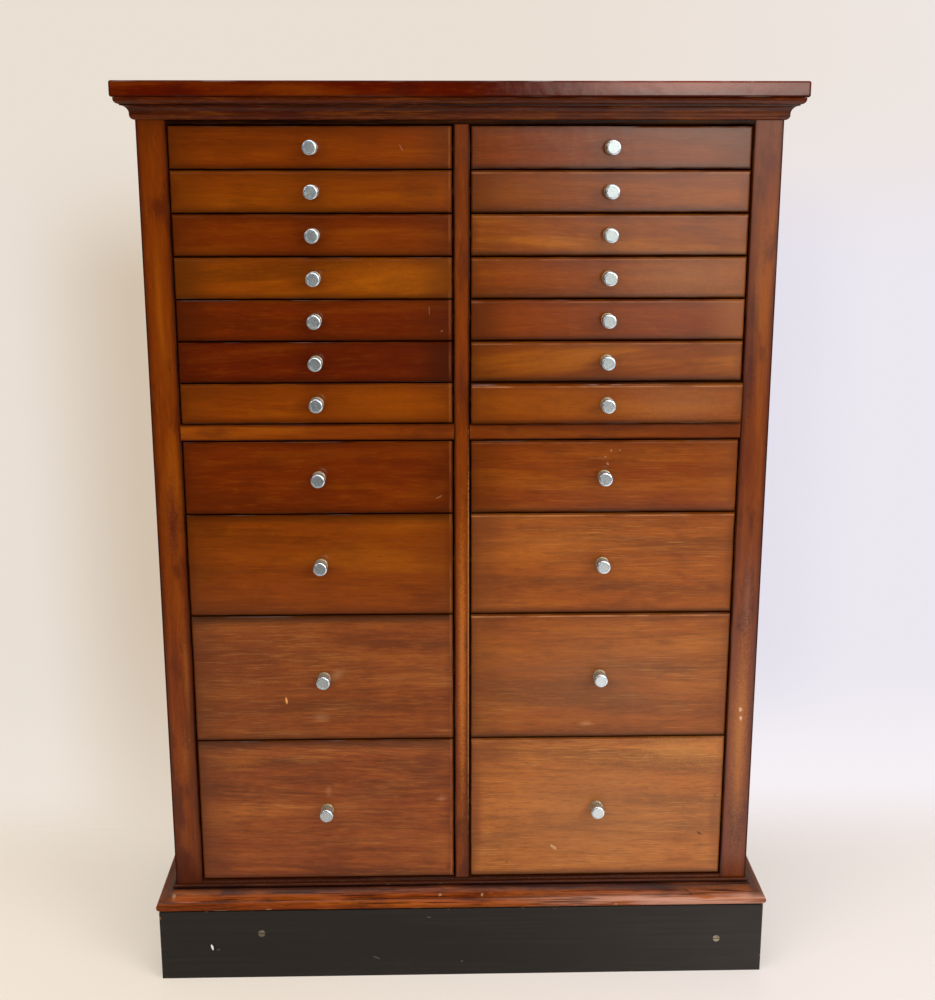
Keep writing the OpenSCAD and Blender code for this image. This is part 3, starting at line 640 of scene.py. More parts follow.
casePieces = [  # piece, part, finish, seed, which of the part's boards
    ("side_panel_left", "side_left", "side", 303, None),
    ("side_panel_right", "side_right", "side", 304, None),
    ("partition", "centre_partition", "inside", 305, None),
    ("floor_board", "bottom_board", "inside", 306, None),
    ("board_under_top", "sub_top", "inside", 307, None),
    ("dust_panels", "dust_boards", "inside", 308, None),
    ("back_panelling", "back_boards", "back", 309, None),
    ("plinth_blocks", "plinth_cleats", "inside", 310, None),
    ("top_panel", "top_board", "top", 311, None),
    ("left_stile", "face_stiles", "left_stile", 301, lambda low, high: high.x < -0.3),
    ("centre_stile", "face_stiles", "centre_stile", 302, lambda low, high: abs(low.x) < 0.1),
    ("right_stile", "face_stiles", "right_stile", 314, lambda low, high: low.x > 0.3),
    ("top_rail", "face_rails", "top_rail", 312, lambda low, high: low.z > 1.0),
    ("lower_rails", "face_rails", "rail", 313, lambda low, high: low.z < 1.0),
]
for name, nodeName, finish, seed, isMine in casePieces:
    ease = 0.0 if finish == "top" else caseEase  # the top board is eased in the frame
    material = {**innerWoods, **caseWoods}[finish]
    boardPiece(name, nodeName, "case", material, seed, ease, isMine)
print("case:", len(casePieces), "pieces")


# Geometry Nodes: a tree gets named inputs, runs on a mesh and leaves a plain mesh

def startTree(name, geometryIn, values, geometryOut):
    tree = bpy.data.node_groups.new(name, "GeometryNodeTree")
    addSocket(tree, geometryIn, "Geometry")
    for key, value in values.items():
        addSocket(tree, key, "Int" if isinstance(value, int) else "Float").default_value = value
    addSocket(tree, "Finish", "Material")
    addSocket(tree, geometryOut, "Geometry", "OUTPUT")
    return tree, tree.nodes.new("NodeGroupInput").outputs


def closeTree(geometry, finish):
    tree = geometry.id_data
    real = addNode(tree, "GeometryNodeRealizeInstances", {"Geometry": geometry})
    done = addNode(tree, "GeometryNodeSetMaterial", {"Geometry": real.outputs[0], "Material": finish})
    addNode(tree, "NodeGroupOutput", {0: done.outputs[0]})
    return tree


def onEveryPoint(given, shape, **more):
    inputs = {"Points": given["Places"], "Instance": shape, **more}
    return closeTree(addAfter([shape], "GeometryNodeInstanceOnPoints", inputs)[0], given["Finish"])


def growMesh(name, startMesh, tree, values, material):
    holder = addObject(name + "_maker", startMesh)
    maker = holder.modifiers.new("maker", "NODES")
    maker.node_group = tree
    sockets = {item.name: item.identifier for item in tree.interface.items_tree
               if item.item_type == "SOCKET" and item.in_out == "INPUT"}
    for key, value in {**values, "Finish": material}.items():
        maker[sockets[key]] = value
    bpy.context.view_layer.update()
    graph = bpy.context.evaluated_depsgraph_get()
    mesh = bpy.data.meshes.new_from_object(holder.evaluated_get(graph), depsgraph=graph)
    holder.modifiers.clear()
    bpy.data.objects.remove(holder)
    return mesh


def pour(mesh, bm):  # adds a mesh to a bmesh and drops it
    bm.from_mesh(mesh)
    bpy.data.meshes.remove(mesh)
    return bm


def pointMesh(points):
    mesh = bpy.data.meshes.new("places")
    mesh.from_pydata([tuple(p) for p in points], [], [])
    return mesh


def partBoxes(nodeName):
    source = partMesh(nodeName)
    boxes = [boxOf(island) for island in islandsOf(source)]
    source.free()
    return boxes


# Mouldings: a profile run along one side of the case and mitred at the corners

case = {"width": 760 * mm, "frontY": -174.5 * mm, "backY": 206.5 * mm}
glue = 0.1  # mm
cornice = {"foot": 1109.2, "height": 25.0, "bead": 5.5, "cove": 9.0, "ovolo": 6.0, "flat": 1.5, "steps": 12}
base = {"foot": 98.0, "nose": 7.5, "step": 1.0, "hollow": 8.5, "hollowRadius": 21.0, "fillet": 1.5,
        "bead": 2.0, "beadReach": 4.5, "reach": 24.0, "noseStep": 0.4, "steps": 12}


def arc(centreU, centreV, radius, start, end, steps):  # in degrees
    return [(centreU + radius * math.cos(math.radians(start + (end - start) * i / steps)),
             centreV + radius * math.sin(math.radians(start + (end - start) * i / steps)))
            for i in range(steps + 1)]


def corniceProfile():  # outward and upward, in mm, from the foot up
    bead, cove, ovolo, flat = cornice["bead"], cornice["cove"], cornice["ovolo"], cornice["flat"]
    top, steps = cornice["height"] - glue, cornice["steps"]
    points = [(glue, 0.0)] + arc(0.0, bead, bead, -90, 0, steps)[1:]
    points += [(bead, bead + flat)] + arc(bead + cove, bead + flat, cove, 180, 90, steps)[1:]
    points += [(bead + cove, top - flat - ovolo)] + arc(bead + cove, top - flat, ovolo, -90, 0, steps)[1:]
    return points + [(bead + cove + ovolo, top), (glue, top)]


def baseProfile():
    nose = base["nose"]
    noseU = base["reach"] - nose - glue
    stepU, stepV = noseU + base["noseStep"] * nose, 2 * nose + base["step"]
    filletU, filletV = base["beadReach"] - glue, stepV + base["hollow"]
    beadV, beadU = filletV + base["fillet"], base["beadReach"] - base["bead"] - glue
    radius, steps = base["hollowRadius"], base["steps"]
    points = [(glue, glue)] + arc(noseU, nose + glue / 2, nose - glue / 2, -90, 66, 2 * steps)
    points += [(stepU, stepV)]
    chord = Vector((filletU - stepU, filletV - stepV))
    middle = Vector((stepU, stepV)) + chord / 2
    away = Vector((chord.y, -chord.x)).normalized() * math.sqrt(radius ** 2 - (chord.length / 2) ** 2)
    away = away if (middle + away).y > middle.y else -away
    centre = middle + away
    first = math.atan2(stepV - centre.y, stepU - centre.x)
    last = math.atan2(filletV - centre.y, filletU - centre.x)
    turn = (last - first + math.pi) % (2 * math.pi) - math.pi
    points += arc(centre.x, centre.y, radius, math.degrees(first), math.degrees(first + turn), steps)[1:]
    points += [(beadU, filletV), (beadU, beadV)]
    points += arc(beadU, beadV + base["bead"], base["bead"], -90, 90, steps)[1:]
    return points + [(glue, beadV + 2 * base["bead"])]


def makeMouldingTree():
    tree, given = startTree("mitredLength", "Profile", {"Length": 0.0, "Start Mitre": 0.0, "End Mitre": 0.0},
                            "Moulding")
    way = addNode(tree, "ShaderNodeCombineXYZ", {0: 1.0})
    run = addNode(tree, "GeometryNodeExtrudeMesh", {"Mesh": given["Profile"], "Offset": way.outputs[0],
                  "Offset Scale": given["Length"], "Individual": False}, mode="FACES")
    cap = addNode(tree, "GeometryNodeFlipFaces", {"Mesh": given["Profile"]})
    both = tree.nodes.new("GeometryNodeJoinGeometry")
    for sheet in (run, cap):
        tree.links.new(sheet.outputs["Mesh"], both.inputs[0])
    whole = addNode(tree, "GeometryNodeMergeByDistance", {"Geometry": both.outputs[0], "Distance": 1e-5})
    along, outward, _ = split(tree.nodes.new("GeometryNodeInputPosition").outputs[0])
    farEnd = calc("GREATER_THAN", along, times(given["Length"], 0.5))
    nearMitre = times(less(1.0, farEnd), given["Start Mitre"])
    mitre = less(times(farEnd, given["End Mitre"]), nearMitre)
    slide = join(times(outward, -1.0, mitre))
    cut = addNode(tree, "GeometryNodeSetPosition", {"Geometry": whole.outputs[0], "Offset": slide})
    return closeTree(cut.outputs[0], given["Finish"])


def makeProfileMesh(points):  # one face in the YZ plane: outward is -Y
    mesh = bpy.data.meshes.new("profile")
    mesh.from_pydata([(0.0, -u * mm, v * mm) for u, v in points], [], [list(range(len(points)))])
    mesh.update()
    return mesh


def mouldingPiece(name, nodeName, material, points, foot, seed):
    bm = bmesh.new()
    left, right, depth = -case["width"] / 2, case["width"] / 2, case["backY"] - case["frontY"]
    lengths = (  # start corner, turn, length, mitres
        (Vector((left, case["frontY"], foot)), 0.0, case["width"], 1.0, 1.0),
        (Vector((right, case["frontY"], foot)), 90.0, depth, 1.0, 0.0),
        (Vector((left, case["backY"], foot)), -90.0, depth, 0.0, 1.0),
    )
    for start, turn, length, startMitre, endMitre in lengths:
        values = {"Length": length, "Start Mitre": startMitre, "End Mitre": endMitre}
        mesh = growMesh(name, makeProfileMesh(points), mouldingTree, values, material)
        mesh.transform(Matrix.Translation(start) @ Matrix.Rotation(math.radians(turn), 4, "Z"))
        pour(mesh, bm)
    bmesh.ops.recalc_face_normals(bm, faces=bm.faces)
    writeBoards(bm, seed)
    finishPiece(name, bm, material, "case", nodeName, 32.0)


recessGrimeAndShade = {"colour": (18, 6, 3), "openness": (0.95, 0.62), "strength": 0.95, "samples": 6}


def mouldingWood(name, look, marks=()):
    made = caseLook(look["colour"], 0.6, 0.0, 0.004, look["patches"], look["varnish"], 0.26)
    made["figure"].update({"Rub": 0.0, "Streaks": 0.4, "Flecks": 0.4})
    material = wood(name, made, marks)
    tree, shader = openShader(material)
    # grime and painted shade in the moulding's recesses, darker where ambient occlusion finds them closed in
    hollow = addNode(tree, "ShaderNodeAmbientOcclusion", {"Distance": look["recess"]}, only_local=True,
                     samples=recessGrimeAndShade["samples"]).outputs["AO"]
    grimeAndShade = fade(hollow, *recessGrimeAndShade["openness"], 0.0, recessGrimeAndShade["strength"])
    paintOver(shader, (grimeAndShade, paint(*recessGrimeAndShade["colour"])))
    return material


baseWearAndLight = {  # colour, where it begins and where it is full (a height or a share of noise), how strong
    "rubbed": ((166, 84, 42), 0.5, 0.62, 0.6), "noseSheen": ((190, 138, 116), 0.117, 0.11, 0.95),
    "slopeGrimeAndShade": ((32, 12, 7), 0.121, 0.131, 0.85), "streak": ((36, 14, 8), 0.54, 0.64, 0.8),
    "scuff": ((198, 146, 104), 0.104, 0.1, 0.8), "shadedReturn": ((66, 40, 28), 0.376, 0.39, 0.75),
}


def paintBaseWearAndLight(material):  # black grime in streaks, raw orange where feet rub the nose, grime and painted shade at the top of the slope, a painted sheen on the right of the nose and painted shade on the side returns
    tree, shader = openShader(material)
    x, _, z = split(objectPoint(tree))
    grain = readAttribute(tree, "grain")
    figure = lambda along, across, *settings: noise(grain, (along, across, across), *settings)

    def wear(name, value):
        _, low, high, strength = baseWearAndLight[name]
        return fade(value, low, high, 0.0, strength)

    ragged = timesPlus(figure(12.0, 60.0, 3.0, 0.6), 0.016, z)
    masks = {
        "rubbed": wear("rubbed", figure(7.0, 90.0, 3.0, 0.6)),
        # a painted sheen on the right of the nose
        "noseSheen": times(fade(x, 0.0, 0.3), wear("noseSheen", z), fade(figure(8.0, 150.0, 3.0), 0.32, 0.5)),
        # grime and painted shade at the top of the slope, under the rail
        "slopeGrimeAndShade": wear("slopeGrimeAndShade", ragged),
        "streak": wear("streak", figure(9.0, 330.0, 3.0, 0.6)),
        "scuff": times(fade(figure(70.0, 240.0, 2.0, 0.6), 0.66, 0.7), wear("scuff", z)),
        # painted shade on the side returns
        "shadedReturn": times(wear("shadedReturn", calc("ABSOLUTE", x)), fade(z, 0.108, 0.116, 0.25, 1.0)),
    }
    paintOver(shader, *[(mask, paint(*baseWearAndLight[name][0])) for name, mask in masks.items()])


corniceLook = {"colour": (79, 28, 5), "patches": 0.6, "varnish": 0.4, "recess": 10 * mm}
baseLook = {"colour": (125, 53, 12), "patches": 0.9, "varnish": 0.2, "recess": 6 * mm}
chip = (206, 158, 112)
baseMarks = [
    (230, 120, 480, 18, 0, (62, 28, 14), 0.8), (-256, 101, 9, 3, 0, chip, 0.8),
    (-99, 126, 5, 2, 0, chip, 0.6), (-29, 126, 4, 2, 0, chip, 0.6),
    (-30, 115, 5, 2, 0, chip, 0.6), (-382, 116, 5, 5, 0, chip, 0.6), (219, 125, 4, 2, 0, chip, 0.7),
    (204, 103, 6, 3, 0, chip, 0.6), (239, 102, 4, 3, 0, chip, 0.6), (26, 126, 4, 2, 0, chip, 0.5),
    (26, 115, 4, 2, 0, chip, 0.5), (301, 115, 14, 1.6, 20, (20, 8, 5), 0.8),
    (-320, 100, 22, 2.4, 0, chip, 0.5), (-60, 100, 16, 2, 0, chip, 0.4), (120, 100, 26, 2, 0, chip, 0.4),
]
mouldingTree = makeMouldingTree()
corniceWood = mouldingWood("cornice_mahogany", corniceLook)
baseWood = mouldingWood("base_mahogany", baseLook, baseMarks)
paintBaseWearAndLight(baseWood)
mouldingPiece("cornice", "cornice_moulding", corniceWood, corniceProfile(), cornice["foot"] * mm, 401)
mouldingPiece("base_mould", "base_moulding", baseWood, baseProfile(), base["foot"] * mm, 402)
print("mouldings: cornice and base")


# Plinth

plinth = {"paint": (31, 27, 24), "worn": (66, 60, 53), "bareWood": (150, 98, 56), "ease": 0.9 * mm}
plinthMarks = [
    # a pale chip with a painted shadow, the black mark beside it
    (-331, 45, 13, 7.0, 78, (10, 9, 9), 0.9), (-333, 46, 10, 3.6, 76, (236, 232, 224), 0.95),
    (-325, 42, 6, 2.4, 0, (96, 92, 86), 0.5),
    (-115, 27, 12, 2.4, 25, (104, 100, 92), 0.5), (-45, 86, 7, 1.4, 5, (132, 124, 112), 0.5),
    (-1, 20, 3, 2.0, 0, (118, 112, 104), 0.5),
]


def blackPaint():
    material, tree, shader = newMaterial("black_paint")
    grain = readAttribute(tree, "grain")
    worn = paint(*plinth["worn"])
    brush = noise(grain, (5.0, 260.0, 260.0), 3.0, 0.6)
    cloud = noise(grain, (9.0, 16.0, 16.0), 4.0, 0.6)
    chips = noise(grain, (60.0, 90.0, 90.0), 3.0, 0.6)
    bare = times(fade(edgeDistance(tree), 3.2 * mm, 0.8 * mm), fade(chips, 0.64, 0.7))
    colour = layered(
        paint(*plinth["paint"]), (fade(brush, 0.4, 0.8, 0.0, 0.18), worn),
        (fade(cloud, 0.55, 0.85, 0.0, 0.35), worn), (bare, paint(*plinth["bareWood"])))
    height = timesPlus(brush, 0.5, times(bare, -1.5))
    fill(shader, {
        "Base Color": addMarks(colour, plinthMarks), "Roughness": fade(cloud, 0.3, 0.8, 0.5, 0.68),
        "Normal": bumpNormal(height, 0.35, 0.4 * mm), "Specular IOR Level": 0.2})
    return material


boardPiece("plinth", "plinth_frame", "case", blackPaint(), 501, ease=plinth["ease"])
print("plinth: 4 boards")


# Metal

# on the knobs' necks and roses the tarnish colour is partly a painted reflection of the wood and painted
# shade under the head
nickel = {"colour": (192, 200, 205), "tarnish": (148, 130, 92), "spots": 0.06, "roughness": (0.2, 0.3),
          "metallic": 0.78, "neckMetallic": 0.55}
steel = {"colour": (128, 120, 104), "tarnish": (66, 58, 46), "spots": 0.8, "roughness": (0.35, 0.6),
         "metallic": 1.0}


def plateMetal(name, look):
    material, tree, shader = newMaterial(name)
    spot, neck = objectPoint(tree), readAttribute(tree, "neck", "Fac")
    cloud = noise(spot, (90.0, 90.0, 90.0), 3.0, 0.6)
    # tarnish in spots, and on the neck and rose a tint that is partly painted reflection and shade
    tarnish = calc("MAXIMUM", fade(cloud, 0.45, 0.8, 0.0, look["spots"]), times(neck, 0.85))
    metallic = look["metallic"]
    if "neckMetallic" in look:
        metallic = fade(neck, 0.0, 1.0, metallic, look["neckMetallic"])
    fill(shader, {
        "Base Color": blend(tarnish, paint(*look["colour"]), paint(*look["tarnish"])),
        "Roughness": fade(cloud, 0.3, 0.8, *look["roughness"]), "Metallic": metallic,
        "Normal": bumpNormal(noise(spot, (500.0, 500.0, 500.0)), 0.008, 0.2 * mm)})
    return material


knob = {
    "Head Diameter": 17.5 * mm, "Head Length": 6.5 * mm, "Reach": 20.0 * mm, "Neck Diameter": 11.0 * mm,
    "Foot Diameter": 14.1 * mm, "Rose Diameter": 17.0 * mm, "Rose Thickness": 1.6 * mm,
    "Rim Radius": 1.8 * mm, "Dish Depth": 0.4 * mm, "Segments": 48,
}


def turned(stations, segments):  # a closed turning about Y from pairs of radius and height, tip first
    tree = segments.id_data
    ring = calc("ADD", segments, 1.0)
    sheet = addNode(tree, "GeometryNodeMeshGrid", {"Vertices X": len(stations), "Vertices Y": ring})
    index = tree.nodes.new("GeometryNodeInputIndex").outputs[0]
    station = calc("FLOOR", calc("DIVIDE", index, ring))
    angle = times(calc("DIVIDE", calc("MODULO", index, ring), segments), 2 * math.pi)
    picked = []
    for values in zip(*stations):
        switch = addNode(tree, "GeometryNodeIndexSwitch", data_type="FLOAT")
        while len(switch.index_switch_items) < len(stations):
            switch.index_switch_items.new()
        for i, value in enumerate([station, *values]):
            wire(value, switch.inputs[i])
        picked.append(switch.outputs[0])
    radius, height = picked
    x, z = [times(radius, calc(part, angle)) for part in ("COSINE", "SINE")]
    place = join(x, times(height, -1.0), z)
    shaped = addNode(tree, "GeometryNodeSetPosition", {"Geometry": sheet.outputs[0], "Position": place})
    closed = addNode(tree, "GeometryNodeMergeByDistance", {"Geometry": shaped.outputs[0], "Distance": 1e-6})
    return closed.outputs[0], station


def makeKnobTree():
    tree, given = startTree("turnedKnob", "Places", knob, "Knobs")
    head, neck, foot, roseRadius = (times(given[name + " Diameter"], 0.5)
                                    for name in ("Head", "Neck", "Foot", "Rose"))
    reach, rim, rose = given["Reach"], given["Rim Radius"], given["Rose Thickness"]
    flat = less(head, rim)
    floor = less(reach, given["Dish Depth"])
    dish = ((1.1, floor), (0.9, floor), (0.72, reach), (0.5, reach))  # mm inside the rim, height
    stations = [(0.0, floor)] + [(less(flat, inside * mm), height) for inside, height in dish]
    for degrees in (0, 20, 40, 60, 78, 90):
        turn = math.radians(degrees)
        stations.append((timesPlus(rim, math.sin(turn), flat),
                         timesPlus(rim, math.cos(turn) - 1, reach)))
    shoulder = less(reach, given["Head Length"])
    stations += [(head, calc("ADD", shoulder, 0.4 * mm)), (less(head, 0.4 * mm), shoulder)]
    neckLength = less(shoulder, rose)
    neckStart = len(stations)
    for share in (0.0, 0.06, 0.2, 0.35, 0.5, 0.65, 0.8, 0.94, 1.0):  # a waisted neck, from the head down
        radius = timesPlus(less(foot, neck), (2 * share - 1) ** 2, neck)
        stations.append((radius, timesPlus(neckLength, -share, shoulder)))
    stations += [(less(roseRadius, 0.8 * mm), rose), (less(roseRadius, 0.25 * mm), less(rose, 0.2 * mm)),
                 (roseRadius, less(rose, 0.7 * mm)), (roseRadius, 0.05 * mm), (0.0, 0.05 * mm)]
    shape, station = turned(stations, given["Segments"])
    isNeck = calc("GREATER_THAN", station, neckStart - 0.5)  # and the rose behind it
    inputs = {"Geometry": shape, "Name": "neck", "Value": isNeck}
    marked = addNode(tree, "GeometryNodeStoreNamedAttribute", inputs, data_type="FLOAT", domain="POINT")
    return onEveryPoint(given, marked.outputs[0])


screw = {"Head Diameter": 9.6 * mm, "Shank Diameter": 4.8 * mm, "Length": 33.0 * mm, "Cone": 2.4 * mm,
         "Slot Width": 1.3 * mm, "Slot Depth": 1.2 * mm, "Segments": 32}
panScrew = {**screw, "Head Diameter": 8.8 * mm, "Shank Diameter": 4.0 * mm, "Length": 32.7 * mm,
            "Cone": 2.6 * mm, "Segments": 24}


screwEase = 0.25 * mm
screwTip = 1.5 * mm
screwDepth = 21.7 * mm  # from the front's face to the top of the screw's head inside the drawer


def makeScrewTree(name, values, countersunk):
    tree, given = startTree(name, "Places", values, "Screws")
    head, shank = (times(given[part + " Diameter"], 0.5) for part in ("Head", "Shank"))
    deep, end = (times(given[part], -1.0) for part in ("Cone", "Length"))
    rim = [(less(head, inward * screwEase), height * screwEase)
           for inward, height in ((1.6, 0.0), (0.4, -0.3))]
    stations = [(0.0, 0.0), *rim, (head, -screwEase)]
    if not countersunk:
        stations += [(head, calc("ADD", deep, screwEase))]
    stations += [(shank, deep), (shank, calc("ADD", end, screwTip)), (0.0, end)]
    shape, _ = turned(stations, given["Segments"])
    slotSize = join(calc("ADD", given["Head Diameter"], 1.0 * mm), times(given["Slot Depth"], 2.0),
                    given["Slot Width"])
    slot = addNode(tree, "GeometryNodeMeshCube", {"Size": slotSize})
    cut = addNode(tree, "GeometryNodeMeshBoolean", {"Mesh 1": shape, "Mesh 2": slot.outputs[0]},
                  operation="DIFFERENCE")
    return onEveryPoint(given, cut.outputs[0])


def metalPiece(name, points, tree, values, material, body, nodeName, turn=None):
    mesh = growMesh(name, pointMesh([Vector()] if turn else points), tree, values, material)
    if turn:
        mesh.transform(Matrix.Translation(points[0]) @ turn)
    bm = pour(mesh, bmesh.new())
    bmesh.ops.remove_doubles(bm, verts=bm.verts, dist=1e-6)
    bmesh.ops.recalc_face_normals(bm, faces=bm.faces)
    finishPiece(name, bm, material, body, nodeName, 50.0)


knobMetal, screwMetal = plateMetal("knob_nickel", nickel), plateMetal("screw_steel", steel)
knobTree = makeKnobTree()
plinthScrewTree = makeScrewTree("countersunkScrew", screw, True)
panScrewTree = makeScrewTree("panHeadScrew", panScrew, False)
for body, centre in frontCentres.items():
    nodeName, inside = f"knob_{body}", centre + Vector((0, screwDepth, 0))
    metalPiece(nodeName + "_pull", [centre], knobTree, knob, knobMetal, body, nodeName)
    metalPiece(nodeName + "_screw", [inside], panScrewTree, panScrew, screwMetal, body,
               nodeName, turn=Matrix.Rotation(math.pi, 4, "Z"))

screwPlaces = [Vector(((low.x + high.x) / 2, low.y, (low.z + high.z) / 2))
               for low, high in partBoxes("plinth_screws")]
metalPiece("plinth_screw_heads", screwPlaces, plinthScrewTree, screw, screwMetal, "case",
           "plinth_screws")
print("metal:", len(frontCentres), "knobs and their screws, 2 plinth screws")


# Runner strips, one bar on each side of every drawer, set out from the frame's own strips

runner = {"Shrink": 0.0}
runnerLook = {"colour": (150, 104, 62), "ease": 0.5 * mm}


def makeRunnerTree():
    tree, given = startTree("runnerStrips", "Places", runner, "Strips")
    size = addNode(tree, "GeometryNodeInputNamedAttribute", {"Name": "barSize"}, data_type="FLOAT_VECTOR")
    bar = addNode(tree, "GeometryNodeMeshCube", {"Size": (1.0, 1.0, 1.0)})
    shrink = join(*[given["Shrink"]] * 3)
    scale = vectorCalc("SUBTRACT", size.outputs["Attribute"], shrink)
    return onEveryPoint(given, bar.outputs[0], Scale=scale)


strips = partBoxes("drawer_runners")
places = pointMesh([(low + high) / 2 for low, high in strips])
barSize = places.attributes.new("barSize", "FLOAT_VECTOR", "POINT")
for i, (low, high) in enumerate(strips):
    barSize.data[i].vector = high - low
runnerFigure = {**boxWood["figure"], "Body": paint(*runnerLook["colour"])}
runnerWood = wood("runner_wood", {**boxWood, "figure": runnerFigure})
bm = pour(growMesh("runners", places, makeRunnerTree(), runner, runnerWood), bmesh.new())
easeEdges(bm, runnerLook["ease"])
writeBoards(bm, 601)
finishPiece("runners", bm, runnerWood, "case", "drawer_runners")
print("runners:", len(strips), "strips")


# Floor and backdrop

stageLook = {
    "floorSize": 5.0, "floorEnds": (0.06, 0.42), "evenness": 0.45,
    "plain": (236, 227, 217),  # beyond the photograph's own view
    "floorLeft": (238, 226, 211), "floorRight": (238, 229, 224),
    "wallLeft": (233, 223, 213), "wallRight": (236, 232, 240),
    "lowLeft": (238, 228, 217), "lowRight": (246, 241, 245),
    "highLeft": (234, 223, 211), "highRight": (238, 229, 224),
    "shadeLeft": (210, 193, 172), "shadeRight": (229, 225, 236),
}


def slopes(x, ahead, z):  # of a line of sight, across and up
    reach = calc("MAXIMUM", ahead, 0.05)
    return calc("DIVIDE", x, reach), calc("DIVIDE", z, reach)


def fromSideToSide(value, low, high, name):
    left, right = (paint(*stageLook[name + end]) for end in ("Left", "Right"))
    return blend(fade(value, low, high), left, right)


def backdropColour(x, y, z):  # what a line of sight meets
    across, upward = slopes(x, y, z)
    wide = lambda *ends: fade(across, *ends)
    level = lambda *ends: fade(upward, *ends)
    leftShade = times(wide(-0.3, -0.2), level(0.03, -0.1), level(-0.55, -0.3, 0.45, 1.0), wide(0.1, 0.0))
    rightShade = times(wide(0.32, 0.24), level(0.0, -0.05), wide(0.0, 0.1), level(-0.45, -0.35))
    wall = layered(
        fromSideToSide(across, -0.1, 0.2, "wall"),
        (level(-0.36, -0.48), fromSideToSide(across, -0.1, 0.2, "low")),
        (leftShade, paint(*stageLook["shadeLeft"])), (rightShade, paint(*stageLook["shadeRight"])),
        (level(-0.1, 0.05), fromSideToSide(across, 0.0, 0.35, "high")),
        (level(-0.48, -0.58), fromSideToSide(across, -0.1, 0.2, "floor")))
    return blend(fade(y, 0.55, 0.75), paint(*stageLook["plain"]), wall)


def makeFloor():
    size = stageLook["floorSize"]
    mesh = bpy.data.meshes.new("studio_floor")
    corners = [(-size, -size, 0), (size, -size, 0), (size, size, 0), (-size, size, 0)]
    mesh.from_pydata(corners, [], [(0, 1, 2, 3)])
    floor = addObject("studio_floor", mesh)
    material, tree, shader = newMaterial("studio_floor")
    spot = objectPoint(tree)
    x, y, _ = split(spot)
    colour = fromSideToSide(x, -0.6, 0.6, "floor")
    path = tree.nodes.new("ShaderNodeLightPath").outputs
    glossy = path["Is Glossy Ray"]
    even = times(path["Is Camera Ray"], stageLook["evenness"])
    # painted reflection: for reflected rays the floor glows up to 0.8 times its colour on the left and 2.4
    # times on the right, fading out far in front, so the fronts mirror a bright floor
    mirrored = addNode(tree, "ShaderNodeMix", {0: fade(x, 0.0, 0.5), 2: fade(y, -2.3, -0.7, 0.0, 0.8),
                       3: fade(y, -3.4, -0.9, 0.0, 2.4)}).outputs[0]
    unlit = calc("MAXIMUM", even, glossy)
    fill(shader, {
        "Base Color": blend(unlit, colour, (0.0, 0.0, 0.0, 1.0)), "Roughness": 0.9, "Specular IOR Level": 0.0,
        "Emission Color": colour, "Emission Strength": timesPlus(glossy, mirrored, even)})
    clear = tree.nodes.new("ShaderNodeBsdfTransparent")
    away = less(vectorCalc("LENGTH", spot), fade(y, -0.9, -0.2, 3.0, 0.0))
    gone = calc("MAXIMUM", fade(away, 0.9, 1.7), fade(y, *stageLook["floorEnds"]))
    mixed = addNode(tree, "ShaderNodeMixShader", {0: gone, 1: shader.outputs[0], 2: clear.outputs[0]})
    tree.links.new(mixed.outputs[0], tree.nodes["Material Output"].inputs["Surface"])
    mesh.materials.append(material)


roomLook = {  # what polished fronts and knobs mirror: a dim room with a tall bright window on the right
    "ambient": (0.34, 0.333, 0.323, 1.0), "dim": (0.006, 0.006, 0.005), "window": (3.2, 3.2, 2.85),
    "left": (0.03, 0.2), "right": (1.6, 0.9), "brightest": (0.17, 0.26, 1.0, 0.7),  # slopes across
    "low": (-0.26, 0.06), "sill": (0.02, 0.032), "top": (0.9, 0.5),                 # and upward
    "behindView": (0.1, -0.2),
}


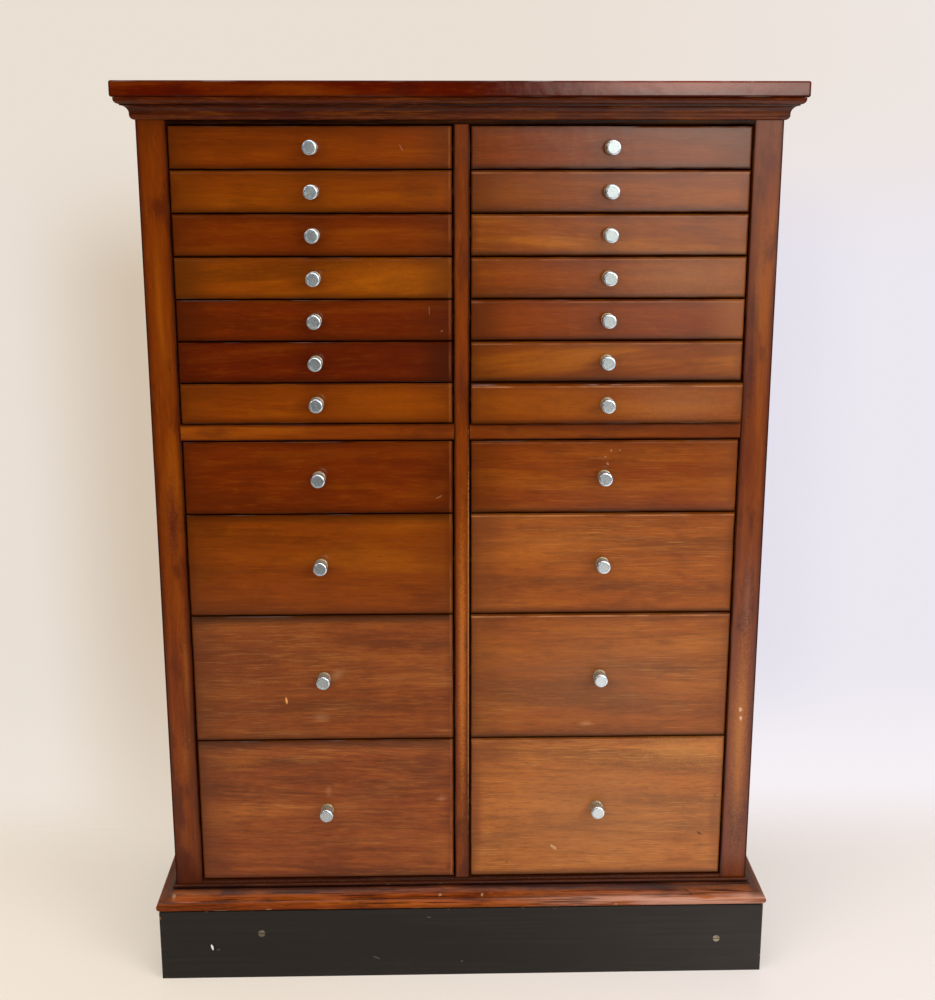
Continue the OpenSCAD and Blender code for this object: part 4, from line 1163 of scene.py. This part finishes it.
def makeWorld():
    world = bpy.data.worlds.new("studio_world")
    scene.world = world
    world.use_nodes = True
    tree = world.node_tree
    x, y, z = split(addNode(tree, "ShaderNodeTexCoord").outputs["Generated"])
    wall = backdropColour(x, y, z)
    across, upward = slopes(x, times(y, -1.0), z)
    fades = lambda value, *names: [fade(value, *roomLook[name]) for name in names]
    height = calc("ADD", *fades(upward, "low", "sill"))
    left, brightest, right = fades(across, "left", "brightest", "right")
    bright = times(left, height, brightest, right, *fades(upward, "top"))
    inputs = {0: roomLook["window"], "Scale": bright}
    window = addNode(tree, "ShaderNodeVectorMath", inputs, operation="SCALE").outputs[0]
    room = vectorCalc("ADD", window, roomLook["dim"])
    mirrored = blend(fade(y, *roomLook["behindView"]), wall, room)
    path = tree.nodes.new("ShaderNodeLightPath").outputs
    seen = blend(path["Is Glossy Ray"], wall, mirrored)
    shown = calc("MAXIMUM", path["Is Camera Ray"],
                 calc("MAXIMUM", path["Is Glossy Ray"], path["Is Transmission Ray"]))
    wire(blend(shown, roomLook["ambient"], seen), tree.nodes["Background"].inputs["Color"])


lamps = [  # name, place, aim, width, height, watts, colour
    ("window_right", (2.7, -2.9, 2.2), (0.1, -0.2, 0.55), 1.8, 2.2, 80, (0.94, 0.96, 1.0)),
    ("fill_left", (-2.7, -2.6, 2.6), (0.0, -0.2, 0.5), 1.8, 1.8, 30, (1.0, 0.94, 0.86)),
    ("overhead", (0.0, -0.9, 3.4), (0.0, 0.0, 0.4), 2.4, 2.4, 70, (1.0, 0.98, 0.96)),
    ("rear", (0.4, 3.4, 2.4), (0.0, 0.2, 0.6), 2.4, 2.0, 38, (1.0, 0.98, 0.96)),
]


def makeLamps():
    for name, place, aim, width, height, watts, colour in lamps:
        light = bpy.data.lights.new(name, "AREA")
        light.shape, light.size, light.size_y = "RECTANGLE", width, height
        light.energy, light.color = watts, colour
        lamp = addObject(name, light)
        lamp.location = place
        lamp.rotation_euler = (Vector(aim) - Vector(place)).to_track_quat("-Z", "Y").to_euler()


makeFloor()
makeWorld()
makeLamps()
print("studio: floor, world and", len(lamps), "lamps")


# Camera, where the photograph was taken from

view = {"lens": 51.19, "sensor": 36.0, "place": (-0.0380, -1.8955, 1.0786), "pitch": 13.942, "yaw": 1.497}
camera = addObject("camera", bpy.data.cameras.new("camera"))
camera.data.lens = view["lens"]
camera.data.sensor_width = view["sensor"]
camera.location = view["place"]
camera.rotation_euler = (math.radians(90 - view["pitch"]), 0.0, math.radians(-view["yaw"]))
scene.camera = camera
scene.view_settings.view_transform = "Standard"
